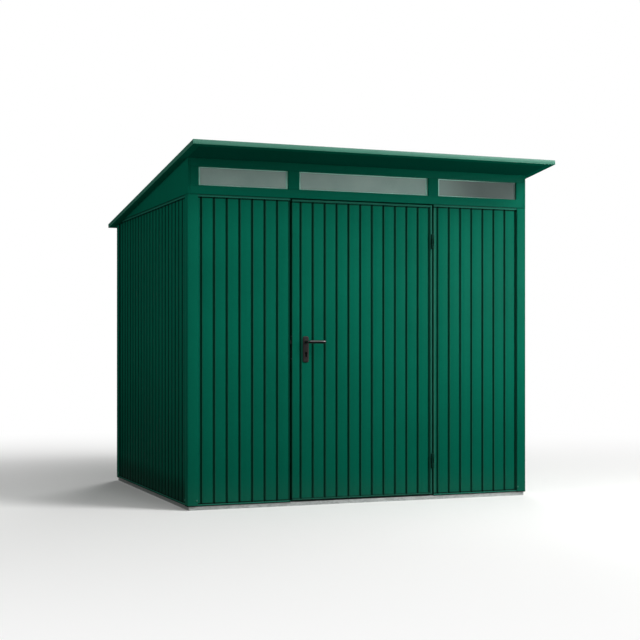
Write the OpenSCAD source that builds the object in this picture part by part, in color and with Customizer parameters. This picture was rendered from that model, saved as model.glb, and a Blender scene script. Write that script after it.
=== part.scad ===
// Metal storage shed with a pent roof, a row of windows over the door and one hinged door.
// Millimetres. The front faces -Y, +X is to the right seen from the front, +Z is up.
// The origin is on the ground, under the middle of the roof's outline.

/* [Walls] */
// Width of the shed over its corner posts
wall_w = 2386; // [1900:2:3200]
// Depth of the shed over its corner posts
wall_d = 2000; // [1500:10:2600]
// Height of the walls from the base rails to the window band
wall_h = 1936; // [1800:1:2200]
// Thickness of the ribbed wall sheets
sheet_t = 0.8; // [0.6:0.1:1.2]
// Distance from groove to groove of the wall sheets
board_pitch = 84; // [70:1:110]
// Width of a groove at its mouth
groove_mouth = 18; // [14:1:20]
// Width of a groove at its floor
groove_floor = 12; // [8:1:13]
// Depth of a groove
groove_depth = 10; // [6:1:12]
// Distance of the sheet's flats behind the faces of the corner posts
sheet_inset = 10; // [8:1:14]
// Length of sheet hidden behind the face of a corner post
sheet_lap = 20; // [12:1:30]
// Distance from the left post to the first groove of the front wall
front_first = 22; // [16:1:40]
// Distance from the edge beside the hinges to the first groove of the right front wall
hinge_first = 26; // [20:1:40]

/* [Frame] */
// Height of the galvanised base rails
base_h = 25; // [20:1:40]
// Distance of the base rails behind the faces of the corner posts
base_inset = 10; // [4:1:20]
// Width of the base rail flanges
base_w = 60; // [50:1:80]
// Thickness of the base rails
base_t = 2; // [1.5:0.5:3]
// Radius of the anchor holes in the front and back base rails
anchor_r = 5.5; // [4:0.5:7]
// Distance of the anchor holes from the corners
anchor_end = 300; // [200:10:500]
// Distance of the anchor holes from the faces of the corner posts
anchor_in = 45; // [38:1:55]
// Width of each face of a corner post
post_w = 66; // [50:1:80]
// Thickness of the folded frame pieces
frame_t = 1.5; // [1:0.5:2]
// Thickness of the sill and head channels
channel_t = 1; // [0.8:0.1:1.5]
// Height of the lips of the sill and head channels
lip_h = 12; // [10:1:24]
// Distance of these lips behind the faces of the corner posts
lip_inset = 4; // [2:1:6]

/* [Windows] */
// Height of the rail under the windows
band_low = 57; // [40:1:70]
// Height of the glass
glass_h = 115; // [90:1:200]
// Height of the rail over the windows at its front face
band_top = 53; // [48:1:70]
// Depth of the window frame
band_d = 40; // [32:1:50]
// Width of the frame at the outer ends, the gable's fold included
band_end = 72; // [50:1:80]
// Width of the mullions
mullion_w = 75; // [50:1:90]
// Width of the middle window
middle_w = 912; // [700:1:1100]
// Thickness of the panes
glass_t = 4; // [3:1:6]
// Distance of the panes behind the frame's face
glass_inset = 14; // [8:1:20]
// Width of the gable's fold onto the front
gable_fold = 17; // [12:1:24]
// Thickness of the gable sheets
gable_t = 1; // [0.8:0.1:1.5]

/* [Roof] */
// Slope of the roof in degrees
roof_pitch = 7.25; // [5:0.25:8.5]
// Reach of the roof in front of the front wall
over_front = 304; // [150:1:400]
// Reach of the roof over each side wall
over_side = 50; // [42:1:90]
// Reach of the roof behind the back wall
over_back = 73; // [60:1:120]
// Height of the roof's edge trims
trim_h = 30; // [24:1:50]
// Thickness of the edge trims and the soffit
trim_t = 1; // [0.8:0.1:1.5]
// Width of the trims on top of the roof
trim_top = 40; // [30:1:52]
// Distance from rib to rib of the roof sheet
rib_pitch = 207; // [150:1:250]
// Width of a rib at its top
rib_top = 36; // [20:1:60]
// Width of a rib at its foot
rib_foot = 80; // [60:1:100]
// Height of the purlin's web
purlin_h = 60; // [40:1:80]
// Width of the purlin's flanges
purlin_w = 40; // [30:1:50]

/* [Door] */
// Width of the door leaf
door_w = 988; // [800:1:1100]
// Distance of the leaf's middle to the left of the shed's middle
door_shift = 6.5; // [0:0.5:10]
// Gap beside the leaf on the lock side
gap_lock = 15; // [8:1:20]
// Gap beside the leaf on the hinge side
gap_hinge = 13; // [8:1:20]
// Gap over the leaf and under it
gap_end = 6; // [5:1:12]
// Distance of the leaf's lips behind the faces of the corner posts
leaf_inset = 6; // [5:1:8]
// Depth of the leaf from its lips to its back
leaf_t = 34; // [30:1:45]
// Width of the lips round the leaf's sheet
leaf_lip = 13; // [10:1:18]
// Width of the leaf's frame bars
leaf_bar = 40; // [34:1:44]
// Distance from the leaf's lock edge to its first groove
leaf_first = 55; // [50:1:70]
// Distance from the leaf's last groove to its hinge edge
leaf_last = 23; // [22:1:40]
// Clearance from the leaf's back to the stops of the door posts
stop_gap = 6; // [5:1:10]
// Overlap of the stops behind the leaf
stop_lap = 18; // [12:1:22]
// Depth of the stops' inner folds
stop_fold = 14; // [8:1:20]
// Width of the door posts' front flanges behind the walls
jamb_w = 38; // [30:1:60]

/* [Hinges] */
// Radius of the knuckles
knuckle_r = 7; // [6:0.5:8]
// Height of a hinge
hinge_h = 95; // [70:1:120]
// Height of the middle knuckle, which is on the door
knuckle_h = 39; // [25:1:50]
// Gap between the knuckles
knuckle_gap = 0.5; // [0.3:0.1:1]
// Radius of the hinge pins
pin_r = 4; // [3:0.5:5]
// Radial clearance of the turning fits
run_fit = 0.05; // [0.03:0.01:0.1]
// Distance of the pins from the leaf's hinge edge
pin_in = 4.5; // [3:0.5:7]
// Distance of the pins in front of the faces of the corner posts
pin_out = 3; // [2:0.5:6]
// Height of the lower hinge's middle over the ground
hinge_low = 257; // [150:1:400]
// Height of the upper hinge's middle over the ground
hinge_high = 1713; // [1500:1:1750]
// Thickness of the hinge plates
hinge_t = 2; // [1.5:0.5:3]
// Depth of the hinge plates along the jamb
hinge_plate = 30; // [24:1:40]
// Thickness of the arms from the knuckles to the plates
hinge_arm = 4; // [3:0.5:5]

/* [Lock] */
// Height of the lever's axis over the ground
lever_z = 1046; // [950:1:1100]
// Distance of the lever's axis from the leaf's lock edge
backset = 90; // [68:0.5:100]
// Distance from the lever's axis down to the lock cylinder
cylinder_drop = 72; // [60:1:92]
// Radius of the lock cylinder
cylinder_r = 7; // [6:0.5:8]
// Clearance round the lock cylinder
cylinder_gap = 0.3; // [0.2:0.1:1]
// Length of the lock cylinder beyond the plates
cylinder_out = 2; // [1:0.5:4]
// Width of the handle plates
plate_w = 40; // [34:1:44]
// Height of the handle plates
plate_h = 167; // [140:1:240]
// Distance from the top of the plates to the lever's axis
plate_up = 36; // [25:1:60]
// Thickness of the handle plates
plate_t = 9; // [6:1:12]
// Radius of the lever's neck and grip
grip_r = 10.5; // [7:0.5:12]
// Distance from the plate's face to the middle of the grip
grip_out = 51; // [45:1:60]
// Length of the lever from its axis to its tip
lever_l = 118; // [110:1:150]
// Depth of the neck's seat in the plate
neck_seat = 5; // [3:1:7]
// Radius of the spindle
spindle_r = 4.5; // [4:0.5:5.5]
// Clearance round the spindle
spindle_gap = 1.5; // [1:0.5:2.5]
// Width of the lock case
case_w = 80; // [60:1:100]
// Height of the lock case
case_h = 180; // [160:1:220]

/* [Hidden] */
$fn = 64;

green = [0.02, 0.24, 0.17];
steel_grey = [0.62, 0.64, 0.65];
glass_grey = [0.45, 0.5, 0.5];
dark_grey = [0.08, 0.09, 0.09];
black = [0.03, 0.03, 0.03];

// A cut runs past the piece it cuts by this much
over = 1;

// Walls
wall_top = base_h + wall_h;
sheet_back = sheet_inset + groove_depth + sheet_t;
channel_back = sheet_back + channel_t;
wall_z0 = base_h + channel_t;
wall_z1 = wall_top - channel_t;

// Roof, in its own sloping frame: x from its left edge, y down the slope, z square to it
roof_w = wall_w + 2 * over_side;
roof_y0 = trim_h * sin(roof_pitch) - over_front;
roof_len = (wall_d + over_back - roof_y0) / cos(roof_pitch);
deck = trim_h - trim_t;
band_h = band_low + glass_h + band_top;
roof_z0 = wall_top + band_h - roof_y0 * tan(roof_pitch) + deck / cos(roof_pitch);
back_flange = (over_back - trim_h * sin(roof_pitch)) / cos(roof_pitch);
middle_y = (wall_d + over_back - over_front) / 2;

// Window band
glass_z0 = wall_top + band_low;
glass_z1 = glass_z0 + glass_h;
middle_x0 = (wall_w - middle_w) / 2;
middle_x1 = (wall_w + middle_w) / 2;
mullion_x0 = middle_x0 - mullion_w;

// Door
leaf_x0 = (wall_w - door_w) / 2 - door_shift;
leaf_x1 = leaf_x0 + door_w;
jamb_x0 = leaf_x0 - gap_lock;
jamb_x1 = leaf_x1 + gap_hinge;
leaf_z0 = base_h + gap_end;
leaf_z1 = wall_top - gap_end;
leaf_back = leaf_inset + leaf_t;
leaf_in = leaf_back - frame_t;
stop_y = leaf_back + stop_gap;
pin_x = leaf_x1 - pin_in;

// Lock
lever_x = leaf_x0 + backset;
cylinder_z = lever_z - cylinder_drop;
plate_z0 = lever_z + plate_up - plate_h;
plate_y = sheet_inset - plate_t;
case_x0 = leaf_x0 + sheet_t + leaf_bar;
case_z0 = (lever_z + cylinder_z - case_h) / 2;

// Height of the roof's underside over a place y behind the front wall's face
function roof_under(y) = roof_z0 - (y - roof_y0) * tan(roof_pitch) - deck / cos(roof_pitch);

// Inner face of a sheet folded along the points p of its outer face
function left_normal(a, b) = let (v = (b - a) / norm(b - a)) [-v[1], v[0]];
function inner_point(p, i, t) =
    let (last = len(p) - 1)
    let (before = left_normal(p[max(i - 1, 0)], p[max(i, 1)]))
    let (after = left_normal(p[min(i, last - 1)], p[min(i + 1, last)]))
    p[i] + t * (before + after) / (1 + before * after);

// Section of a folded sheet of thickness t
module folded(p, t) {
    polygon(concat(p, [for (i = [len(p) - 1:-1:0]) inner_point(p, i, t)]));
}

// One groove of a wall sheet about c, and n grooves from first on
function groove(c) = [
    [c - groove_mouth / 2, sheet_inset],
    [c - groove_floor / 2, sheet_inset + groove_depth],
    [c + groove_floor / 2, sheet_inset + groove_depth],
    [c + groove_mouth / 2, sheet_inset]];
function grooves(first, n, pitch) = [for (k = [0:n - 1]) each groove(first + k * pitch)];

// A profile drawn in y and z, run along x
module along_x(x0, x1) {
    translate([x0, 0, 0])
        rotate([90, 0, 90])
            linear_extrude(x1 - x0)
                children();
}

// A profile drawn in x and z, run along y
module along_y(y0, y1) {
    translate([0, y1, 0])
        rotate([90, 0, 0])
            linear_extrude(y1 - y0)
                children();
}

// A profile drawn in x and y, run along z
module along_z(z0, z1) {
    translate([0, 0, z0])
        linear_extrude(z1 - z0)
            children();
}

// From the front left corner on the ground to the part's origin
module part() {
    translate([-wall_w / 2, -middle_y, 0])
        children();
}

// Each wall as seen from outside, x from its left end, y inward
module at_front() {
    part()
        children();
}
module at_left() {
    part()
        translate([0, wall_d, 0])
            rotate([0, 0, -90])
                children();
}
module at_right() {
    part()
        translate([wall_w, 0, 0])
            rotate([0, 0, 90])
                children();
}
module at_back() {
    part()
        translate([wall_w, wall_d, 0])
            rotate([0, 0, 180])
                children();
}
module at_roof() {
    part()
        translate([-over_side, roof_y0, roof_z0])
            rotate([-roof_pitch, 0, 0])
                children();
}

// The space under the roof, drop below its underside, in the shed's own frame
module under_roof(drop = 0) {
    along_x(-over_side, wall_w + over_side)
        polygon([[-over, 0], [wall_d + over, 0],
            [wall_d + over, roof_under(wall_d + over) - drop], [-over, roof_under(-over) - drop]]);
}

// Base rails: mitred C channels of galvanised steel, open towards the inside
module base_rail(length) {
    y1 = base_inset + base_w;
    intersection() {
        along_x(base_inset, length - base_inset)
            folded([[y1, base_h], [base_inset, base_h], [base_inset, 0], [y1, 0]], base_t);
        along_z(-over, base_h + over)
            polygon([[base_inset, base_inset], [length - base_inset, base_inset],
                [length - y1, y1], [y1, y1]]);
    }
}
module anchored_rail() {
    difference() {
        base_rail(wall_w);
        for (x = [anchor_end, wall_w - anchor_end])
            translate([x, anchor_in, -over])
                cylinder(r = anchor_r, h = base_h + 2 * over);
    }
}
module base_rail_front() {
    color(steel_grey)
        at_front()
            anchored_rail();
}
module base_rail_back() {
    color(steel_grey)
        at_back()
            anchored_rail();
}
module base_rail_left() {
    color(steel_grey)
        at_left()
            base_rail(wall_d);
}
module base_rail_right() {
    color(steel_grey)
        at_right()
            base_rail(wall_d);
}

// Sill channels: the wall sheets stand in them
module sill(x0, x1) {
    z1 = base_h + lip_h;
    along_x(x0, x1)
        folded([[lip_inset, z1], [lip_inset, base_h], [channel_back, base_h], [channel_back, z1]],
            channel_t);
}
module sill_channels() {
    color(green) {
        at_front() {
            sill(post_w, jamb_x0);
            sill(jamb_x1, wall_w - post_w);
        }
        at_left()
            sill(post_w, wall_d - post_w);
        at_right()
            sill(post_w, wall_d - post_w);
        at_back()
            sill(post_w, wall_w - post_w);
    }
}

// Corner posts: angles with both edges folded in onto the wall sheets
module corner_post() {
    folded([[sheet_inset, post_w], [0, post_w], [0, 0], [post_w, 0], [post_w, sheet_inset]],
        frame_t);
}
module corner_post_front_left() {
    color(green)
        part()
            along_z(base_h, wall_top)
                corner_post();
}
module corner_post_front_right() {
    color(green)
        part()
            translate([wall_w, 0, 0])
                rotate([0, 0, 90])
                    along_z(base_h, wall_top)
                        corner_post();
}
module corner_post_back_left() {
    color(green)
        part()
            intersection() {
                translate([0, wall_d, 0])
                    rotate([0, 0, -90])
                        along_z(base_h, wall_top)
                            corner_post();
                under_roof();
            }
}
module corner_post_back_right() {
    color(green)
        part()
            intersection() {
                translate([wall_w, wall_d, 0])
                    rotate([0, 0, 180])
                        along_z(base_h, wall_top)
                            corner_post();
                under_roof();
            }
}

// Front wall sheets: the left one ends in a half groove at the door, the right one in a fold
module front_wall_left() {
    first = post_w + front_first;
    last = jamb_x0 - groove_floor / 2;
    n = round((last - first) / board_pitch);
    edge = [[last - groove_mouth / 2, sheet_inset],
        [last - groove_floor / 2, sheet_inset + groove_depth],
        [jamb_x0, sheet_inset + groove_depth]];
    color(green)
        at_front()
            along_z(wall_z0, wall_z1)
                folded(concat([[post_w - sheet_lap, sheet_inset]],
                    grooves(first, n, (last - first) / n), edge), sheet_t);
}
module front_wall_right() {
    first = jamb_x1 + hinge_first + sheet_t;
    last = wall_w - post_w - groove_mouth / 2;
    n = round((last - first) / board_pitch);
    color(green)
        at_front()
            along_z(wall_z0, wall_z1)
                folded(concat([[jamb_x1, sheet_back], [jamb_x1, sheet_inset]],
                    grooves(first, n + 1, (last - first) / n),
                    [[wall_w - post_w + sheet_lap, sheet_inset]]), sheet_t);
}

// Side and back wall sheets: grooves from post to post
module wall_sheet(length) {
    first = post_w + groove_mouth / 2;
    span = length - 2 * first;
    n = round(span / board_pitch);
    along_z(wall_z0, wall_z1)
        folded(concat([[post_w - sheet_lap, sheet_inset]], grooves(first, n + 1, span / n),
            [[length - post_w + sheet_lap, sheet_inset]]), sheet_t);
}
module left_wall() {
    color(green)
        intersection() {
            at_left()
                wall_sheet(wall_d);
            part()
                under_roof();
        }
}
module right_wall() {
    color(green)
        intersection() {
            at_right()
                wall_sheet(wall_d);
            part()
                under_roof();
        }
}
module back_wall() {
    color(green)
        intersection() {
            at_back()
                wall_sheet(wall_w);
            part()
                under_roof(channel_t / cos(roof_pitch));
        }
}

// Head channels: caps over the top edges of the wall sheets
module head(x0, x1, z_in, z_out) {
    z0 = z_out - lip_h - channel_t;
    along_x(x0, x1)
        folded([[channel_back, z0], [channel_back, z_in], [lip_inset, z_out], [lip_inset, z0]],
            channel_t);
}
module head_channels() {
    color(green) {
        at_front() {
            head(post_w, jamb_x0, wall_top, wall_top);
            head(jamb_x1, wall_w - post_w, wall_top, wall_top);
        }
        intersection() {
            at_left()
                head(post_w, wall_d - post_w, wall_top, wall_top);
            part()
                under_roof();
        }
        intersection() {
            at_right()
                head(post_w, wall_d - post_w, wall_top, wall_top);
            part()
                under_roof();
        }
        at_back()
            head(post_w, wall_w - post_w, roof_under(wall_d - channel_back),
                roof_under(wall_d - lip_inset));
    }
}

// Door posts: Z-shaped folds behind the wall sheets, with a stop behind the leaf
module door_post_left() {
    lap_x = leaf_x0 + stop_lap;
    color(green)
        at_front()
            along_z(base_h, wall_top)
                folded([[lap_x, stop_y + stop_fold], [lap_x, stop_y], [jamb_x0, stop_y],
                    [jamb_x0, channel_back], [jamb_x0 - jamb_w, channel_back]], -frame_t);
}
module door_post_right() {
    lap_x = leaf_x1 - stop_lap;
    color(green)
        at_front()
            along_z(base_h, wall_top)
                folded([[lap_x, stop_y + stop_fold], [lap_x, stop_y], [jamb_x1, stop_y],
                    [jamb_x1, channel_back], [jamb_x1 + jamb_w, channel_back]], frame_t);
}

// Window band: square tubes over the front wall
module tube_x(x0, x1, outline, hollow) {
    along_x(x0, x1)
        difference() {
            polygon(outline);
            polygon(hollow);
        }
}
module window_rail_low() {
    z0 = wall_top;
    z1 = glass_z0;
    color(green)
        at_front()
            tube_x(gable_fold, wall_w - gable_fold,
                [[0, z0], [band_d, z0], [band_d, z1], [0, z1]],
                [[frame_t, z0 + frame_t], [band_d - frame_t, z0 + frame_t],
                    [band_d - frame_t, z1 - frame_t], [frame_t, z1 - frame_t]]);
}
module window_rail_top() {
    z0 = glass_z1;
    y1 = band_d - frame_t;
    rise = frame_t / cos(roof_pitch);
    color(green)
        at_front()
            tube_x(gable_fold, wall_w - gable_fold,
                [[0, z0], [band_d, z0], [band_d, roof_under(band_d)], [0, roof_under(0)]],
                [[frame_t, z0 + frame_t], [y1, z0 + frame_t],
                    [y1, roof_under(y1) - rise], [frame_t, roof_under(frame_t) - rise]]);
}
module stile(x0, x1) {
    along_z(glass_z0, glass_z1)
        difference() {
            polygon([[x0, 0], [x1, 0], [x1, band_d], [x0, band_d]]);
            polygon([[x0 + frame_t, frame_t], [x1 - frame_t, frame_t],
                [x1 - frame_t, band_d - frame_t], [x0 + frame_t, band_d - frame_t]]);
        }
}
module window_mullion_left() {
    color(green)
        at_front()
            stile(mullion_x0, middle_x0);
}
module window_mullion_right() {
    color(green)
        at_front()
            stile(middle_x1, middle_x1 + mullion_w);
}
module window_end_stiles() {
    color(green)
        at_front() {
            stile(gable_fold, band_end);
            stile(wall_w - band_end, wall_w - gable_fold);
        }
}

// Panes: fixed glass between the rails and stiles
module pane(x0, x1) {
    translate([x0, glass_inset, glass_z0])
        cube([x1 - x0, glass_t, glass_h]);
}
module window_left() {
    color(glass_grey)
        at_front()
            pane(band_end, mullion_x0);
}
module window_middle() {
    color(glass_grey)
        at_front()
            pane(middle_x0, middle_x1);
}
module window_right() {
    color(glass_grey)
        at_front()
            pane(middle_x1 + mullion_w, wall_w - band_end);
}

// Gables: smooth sheets over the side walls, folded onto the front and under themselves
module gable() {
    intersection() {
        union() {
            translate([0, 0, wall_top])
                cube([gable_t, wall_d, band_h]);
            translate([0, 0, wall_top])
                cube([gable_fold, gable_t, band_h]);
            translate([0, band_d, wall_top])
                cube([channel_back, wall_d - band_d, gable_t]);
        }
        under_roof();
    }
}
module left_gable() {
    color(green)
        part()
            gable();
}
module right_gable() {
    color(green)
        part()
            translate([wall_w, 0, 0])
                mirror([1, 0, 0])
                    gable();
}

// Purlin: a C channel from gable to gable, under the middle of the roof sheet
module roof_purlin() {
    x0 = over_side + gable_t;
    y0 = (roof_len - purlin_w) / 2;
    y1 = y0 + purlin_w;
    z0 = -deck - purlin_h;
    color(green)
        at_roof()
            along_x(x0, roof_w - x0)
                folded([[y1, -deck], [y0, -deck], [y0, z0], [y1, z0]], frame_t);
}

// Roof sheet: one ribbed sheet between the trims, ribs down the slope
function rib(c) = [
    [c - rib_foot / 2, -deck],
    [c - rib_top / 2, -trim_t - sheet_t],
    [c + rib_top / 2, -trim_t - sheet_t],
    [c + rib_foot / 2, -deck]];
module roof_sheet() {
    n = floor((roof_w / 2 - over_side - post_w - rib_foot / 2) / rib_pitch);
    color(green)
        at_roof()
            along_y(trim_t, roof_len - trim_t)
                folded(concat([[trim_t, -deck]],
                    [for (k = [-n:n]) each rib(roof_w / 2 + k * rib_pitch)],
                    [[roof_w - trim_t, -deck]]), sheet_t);
}

// Soffit: a flat sheet under the roof in front of the windows
module front_soffit() {
    y1 = (deck * sin(roof_pitch) - roof_y0) / cos(roof_pitch);
    color(green)
        at_roof()
            translate([over_side, over_side, -trim_h])
                cube([roof_w - 2 * over_side, y1 - over_side, trim_t]);
}

// Edge trims: mitred C channels round the roof sheet
module trim_section(depth) {
    folded([[trim_top, 0], [0, 0], [0, -trim_h], [depth, -trim_h]], trim_t);
}
module trim_space(points) {
    along_z(-trim_h - over, over)
        polygon(points);
}
module roof_trim_front() {
    color(green)
        at_roof()
            intersection() {
                along_x(0, roof_w)
                    trim_section(over_side);
                trim_space([[0, 0], [roof_w, 0], [roof_w - over_side, over_side],
                    [over_side, over_side]]);
            }
}
module roof_trim_back() {
    color(green)
        at_roof()
            translate([roof_w, roof_len, 0])
                rotate([0, 0, 180])
                    intersection() {
                        along_x(0, roof_w)
                            trim_section(back_flange);
                        trim_space([[0, 0], [roof_w, 0], [roof_w - over_side, back_flange],
                            [over_side, back_flange]]);
                    }
}
module side_trim(at_start, at_end) {
    intersection() {
        along_x(0, roof_len)
            trim_section(over_side);
        trim_space([[0, 0], [roof_len, 0], [roof_len - at_end, over_side], [at_start, over_side]]);
    }
}
module roof_trim_left() {
    color(green)
        at_roof()
            translate([0, roof_len, 0])
                rotate([0, 0, -90])
                    side_trim(back_flange, over_side);
}
module roof_trim_right() {
    color(green)
        at_roof()
            translate([roof_w, 0, 0])
                rotate([0, 0, 90])
                    side_trim(over_side, back_flange);
}

// Hinges: the outer knuckles, pin and plate stay on the frame, the middle knuckle is the door's
module knuckle(z0, z1, r) {
    translate([pin_x, -pin_out, z0])
        cylinder(r = r, h = z1 - z0);
}
module hinge_frame_half(z) {
    z0 = z - hinge_h / 2;
    z1 = z + hinge_h / 2;
    low = z - knuckle_h / 2 - knuckle_gap;
    high = z + knuckle_h / 2 + knuckle_gap;
    knuckle(z0, low, knuckle_r);
    knuckle(high, z1, knuckle_r);
    knuckle(z0, z1, pin_r);
    translate([pin_x, -hinge_arm / 2, z0])
        cube([jamb_x1 - pin_x, hinge_arm, low - z0]);
    translate([pin_x, -hinge_arm / 2, high])
        cube([jamb_x1 - pin_x, hinge_arm, z1 - high]);
    translate([jamb_x1 - hinge_t, -hinge_arm / 2, z0])
        cube([hinge_t, hinge_plate, hinge_h]);
}
module hinge_frame_halves() {
    color(dark_grey)
        at_front() {
            hinge_frame_half(hinge_low);
            hinge_frame_half(hinge_high);
        }
}
module hinge_door_half(z) {
    z0 = z - knuckle_h / 2;
    z1 = z + knuckle_h / 2;
    difference() {
        union() {
            knuckle(z0, z1, knuckle_r);
            translate([pin_x - knuckle_r, -pin_out, z0])
                cube([knuckle_r + pin_in, pin_out + leaf_inset, knuckle_h]);
        }
        knuckle(z0 - over, z1 + over, pin_r + run_fit);
    }
}
module hinge_door_halves() {
    color(dark_grey)
        at_front() {
            hinge_door_half(hinge_low);
            hinge_door_half(hinge_high);
        }
}

// A round bar along y through the leaf at height z
module through(z, r, y0, y1) {
    translate([lever_x, y0, z])
        rotate([-90, 0, 0])
            cylinder(r = r, h = y1 - y0);
}

// Door leaf: one ribbed sheet, folded back along the lock edge, in a frame of channels
module door_sheet() {
    first = leaf_x0 + leaf_first;
    last = leaf_x1 - leaf_last;
    n = round((last - first) / board_pitch);
    color(green)
        at_front()
            difference() {
                along_z(leaf_z0 + frame_t, leaf_z1 - frame_t)
                    folded(concat([[leaf_x0, leaf_in], [leaf_x0, sheet_inset]],
                        grooves(first, n + 1, (last - first) / n),
                        [[leaf_x1 - frame_t, sheet_inset]]), sheet_t);
                through(lever_z, spindle_r + spindle_gap, plate_y, sheet_back);
                through(cylinder_z, cylinder_r + cylinder_gap, plate_y, sheet_back);
            }
}
function leaf_section(edge) = [
    [sheet_inset, edge - leaf_lip], [leaf_inset, edge - leaf_lip], [leaf_inset, edge],
    [leaf_back, edge], [leaf_back, edge - leaf_bar]];
module leaf_space(points) {
    along_y(0, leaf_back + over)
        polygon(points);
}
module door_top_rail() {
    color(green)
        at_front()
            intersection() {
                along_x(leaf_x0, leaf_x1)
                    folded(leaf_section(leaf_z1), -frame_t);
                leaf_space([[leaf_x0, leaf_z1], [leaf_x1, leaf_z1],
                    [leaf_x1 - leaf_bar, leaf_z1 - leaf_bar], [leaf_x0, leaf_z1 - leaf_bar]]);
            }
}
module door_bottom_rail() {
    color(green)
        at_front()
            intersection() {
                translate([0, 0, leaf_z0])
                    mirror([0, 0, 1])
                        along_x(leaf_x0, leaf_x1)
                            folded(leaf_section(0), -frame_t);
                leaf_space([[leaf_x0, leaf_z0], [leaf_x1, leaf_z0],
                    [leaf_x1 - leaf_bar, leaf_z0 + leaf_bar], [leaf_x0, leaf_z0 + leaf_bar]]);
            }
}
module door_hinge_stile() {
    lip_x = leaf_x1 - leaf_lip;
    color(green)
        at_front()
            intersection() {
                along_z(leaf_z0, leaf_z1)
                    folded([[lip_x, sheet_inset], [lip_x, leaf_inset], [leaf_x1, leaf_inset],
                        [leaf_x1, leaf_back], [leaf_x1 - leaf_bar, leaf_back]], frame_t);
                leaf_space([[leaf_x1, leaf_z0], [leaf_x1, leaf_z1],
                    [leaf_x1 - leaf_bar, leaf_z1 - leaf_bar],
                    [leaf_x1 - leaf_bar, leaf_z0 + leaf_bar]]);
            }
}
module door_latch_stile() {
    x0 = leaf_x0 + sheet_t;
    x1 = x0 + leaf_bar;
    y0 = sheet_inset + sheet_t;
    color(green)
        at_front()
            along_z(leaf_z0 + frame_t, leaf_z1 - frame_t)
                difference() {
                    polygon([[x0, y0], [x1, y0], [x1, leaf_in], [x0, leaf_in]]);
                    polygon([[x0 + frame_t, y0 + frame_t], [x1 - frame_t, y0 + frame_t],
                        [x1 - frame_t, leaf_in - frame_t], [x0 + frame_t, leaf_in - frame_t]]);
                }
}

// Lock: a pressed case behind the sheet, a plate on each side, a cylinder through both
module lock_case() {
    color(steel_grey)
        at_front()
            difference() {
                translate([case_x0, sheet_back, case_z0])
                    cube([case_w, leaf_in - sheet_back, case_h]);
                translate([case_x0 + frame_t, sheet_back - over, case_z0 + frame_t])
                    cube([case_w - 2 * frame_t, leaf_in - sheet_back - frame_t + over,
                        case_h - 2 * frame_t]);
                through(lever_z, spindle_r + spindle_gap, sheet_back, leaf_in + over);
                through(cylinder_z, cylinder_r + cylinder_gap, sheet_back, leaf_in + over);
            }
}
module handle_plate(y) {
    difference() {
        translate([lever_x - plate_w / 2, y, plate_z0])
            cube([plate_w, plate_t, plate_h]);
        through(lever_z, grip_r + run_fit, y - over, y + plate_t + over);
        through(cylinder_z, cylinder_r + cylinder_gap, y - over, y + plate_t + over);
    }
}
module handle_plates() {
    color(black)
        at_front() {
            handle_plate(plate_y);
            handle_plate(leaf_in);
        }
}
module lock_cylinder() {
    color(steel_grey)
        at_front()
            through(cylinder_z, cylinder_r, plate_y - cylinder_out, leaf_in + plate_t + cylinder_out);
}

// Lever handle: a round lever on each side on one spindle
module lever(y) {
    translate([lever_x, y, lever_z]) {
        sphere(r = grip_r);
        rotate([0, 90, 0])
            cylinder(r = grip_r, h = lever_l - grip_r);
        translate([lever_l - grip_r, 0, 0])
            sphere(r = grip_r);
    }
}
module door_handle() {
    y0 = plate_y - grip_out;
    y1 = leaf_in + plate_t + grip_out;
    color(black)
        at_front() {
            lever(y0);
            through(lever_z, grip_r, y0, plate_y + neck_seat);
            through(lever_z, spindle_r, y0, y1);
            through(lever_z, grip_r, leaf_in + plate_t - neck_seat, y1);
            lever(y1);
        }
}

base_rail_front();
base_rail_back();
base_rail_left();
base_rail_right();
sill_channels();
corner_post_front_left();
corner_post_front_right();
corner_post_back_left();
corner_post_back_right();
front_wall_left();
front_wall_right();
left_wall();
right_wall();
back_wall();
head_channels();
door_post_left();
door_post_right();
window_rail_low();
window_rail_top();
window_mullion_left();
window_mullion_right();
window_end_stiles();
window_left();
window_middle();
window_right();
left_gable();
right_gable();
roof_purlin();
roof_sheet();
front_soffit();
roof_trim_front();
roof_trim_back();
roof_trim_left();
roof_trim_right();
hinge_frame_halves();
door_sheet();
door_top_rail();
door_bottom_rail();
door_hinge_stile();
door_latch_stile();
hinge_door_halves();
lock_case();
handle_plates();
lock_cylinder();
door_handle();
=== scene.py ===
import math

import bmesh
import bpy
from mathutils import Matrix, Vector


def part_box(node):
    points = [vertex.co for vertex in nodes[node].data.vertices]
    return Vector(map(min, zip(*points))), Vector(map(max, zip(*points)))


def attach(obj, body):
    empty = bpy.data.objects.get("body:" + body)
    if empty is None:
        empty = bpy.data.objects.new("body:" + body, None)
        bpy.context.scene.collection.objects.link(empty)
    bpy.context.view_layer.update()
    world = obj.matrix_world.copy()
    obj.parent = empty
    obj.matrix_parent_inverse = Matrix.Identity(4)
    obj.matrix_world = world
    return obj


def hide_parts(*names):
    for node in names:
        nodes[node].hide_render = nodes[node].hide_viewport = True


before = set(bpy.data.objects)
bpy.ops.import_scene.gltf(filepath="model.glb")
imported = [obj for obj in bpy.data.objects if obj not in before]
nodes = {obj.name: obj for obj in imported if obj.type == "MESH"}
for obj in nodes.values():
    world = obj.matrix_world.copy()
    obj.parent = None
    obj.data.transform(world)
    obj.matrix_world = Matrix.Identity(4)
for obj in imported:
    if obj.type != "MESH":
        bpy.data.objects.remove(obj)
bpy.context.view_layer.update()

# Base rails: four C channels of hot-dip galvanised steel sheet, mitred at the corners.
# They lie on the ground under the walls, and the bare zinc shows its spangle and a dull bloom.
zinc_dark = (0.42, 0.45, 0.44, 1)
zinc_light = (0.58, 0.61, 0.60, 1)
spangle_size = 0.012
bloom_size = 0.15


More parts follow.
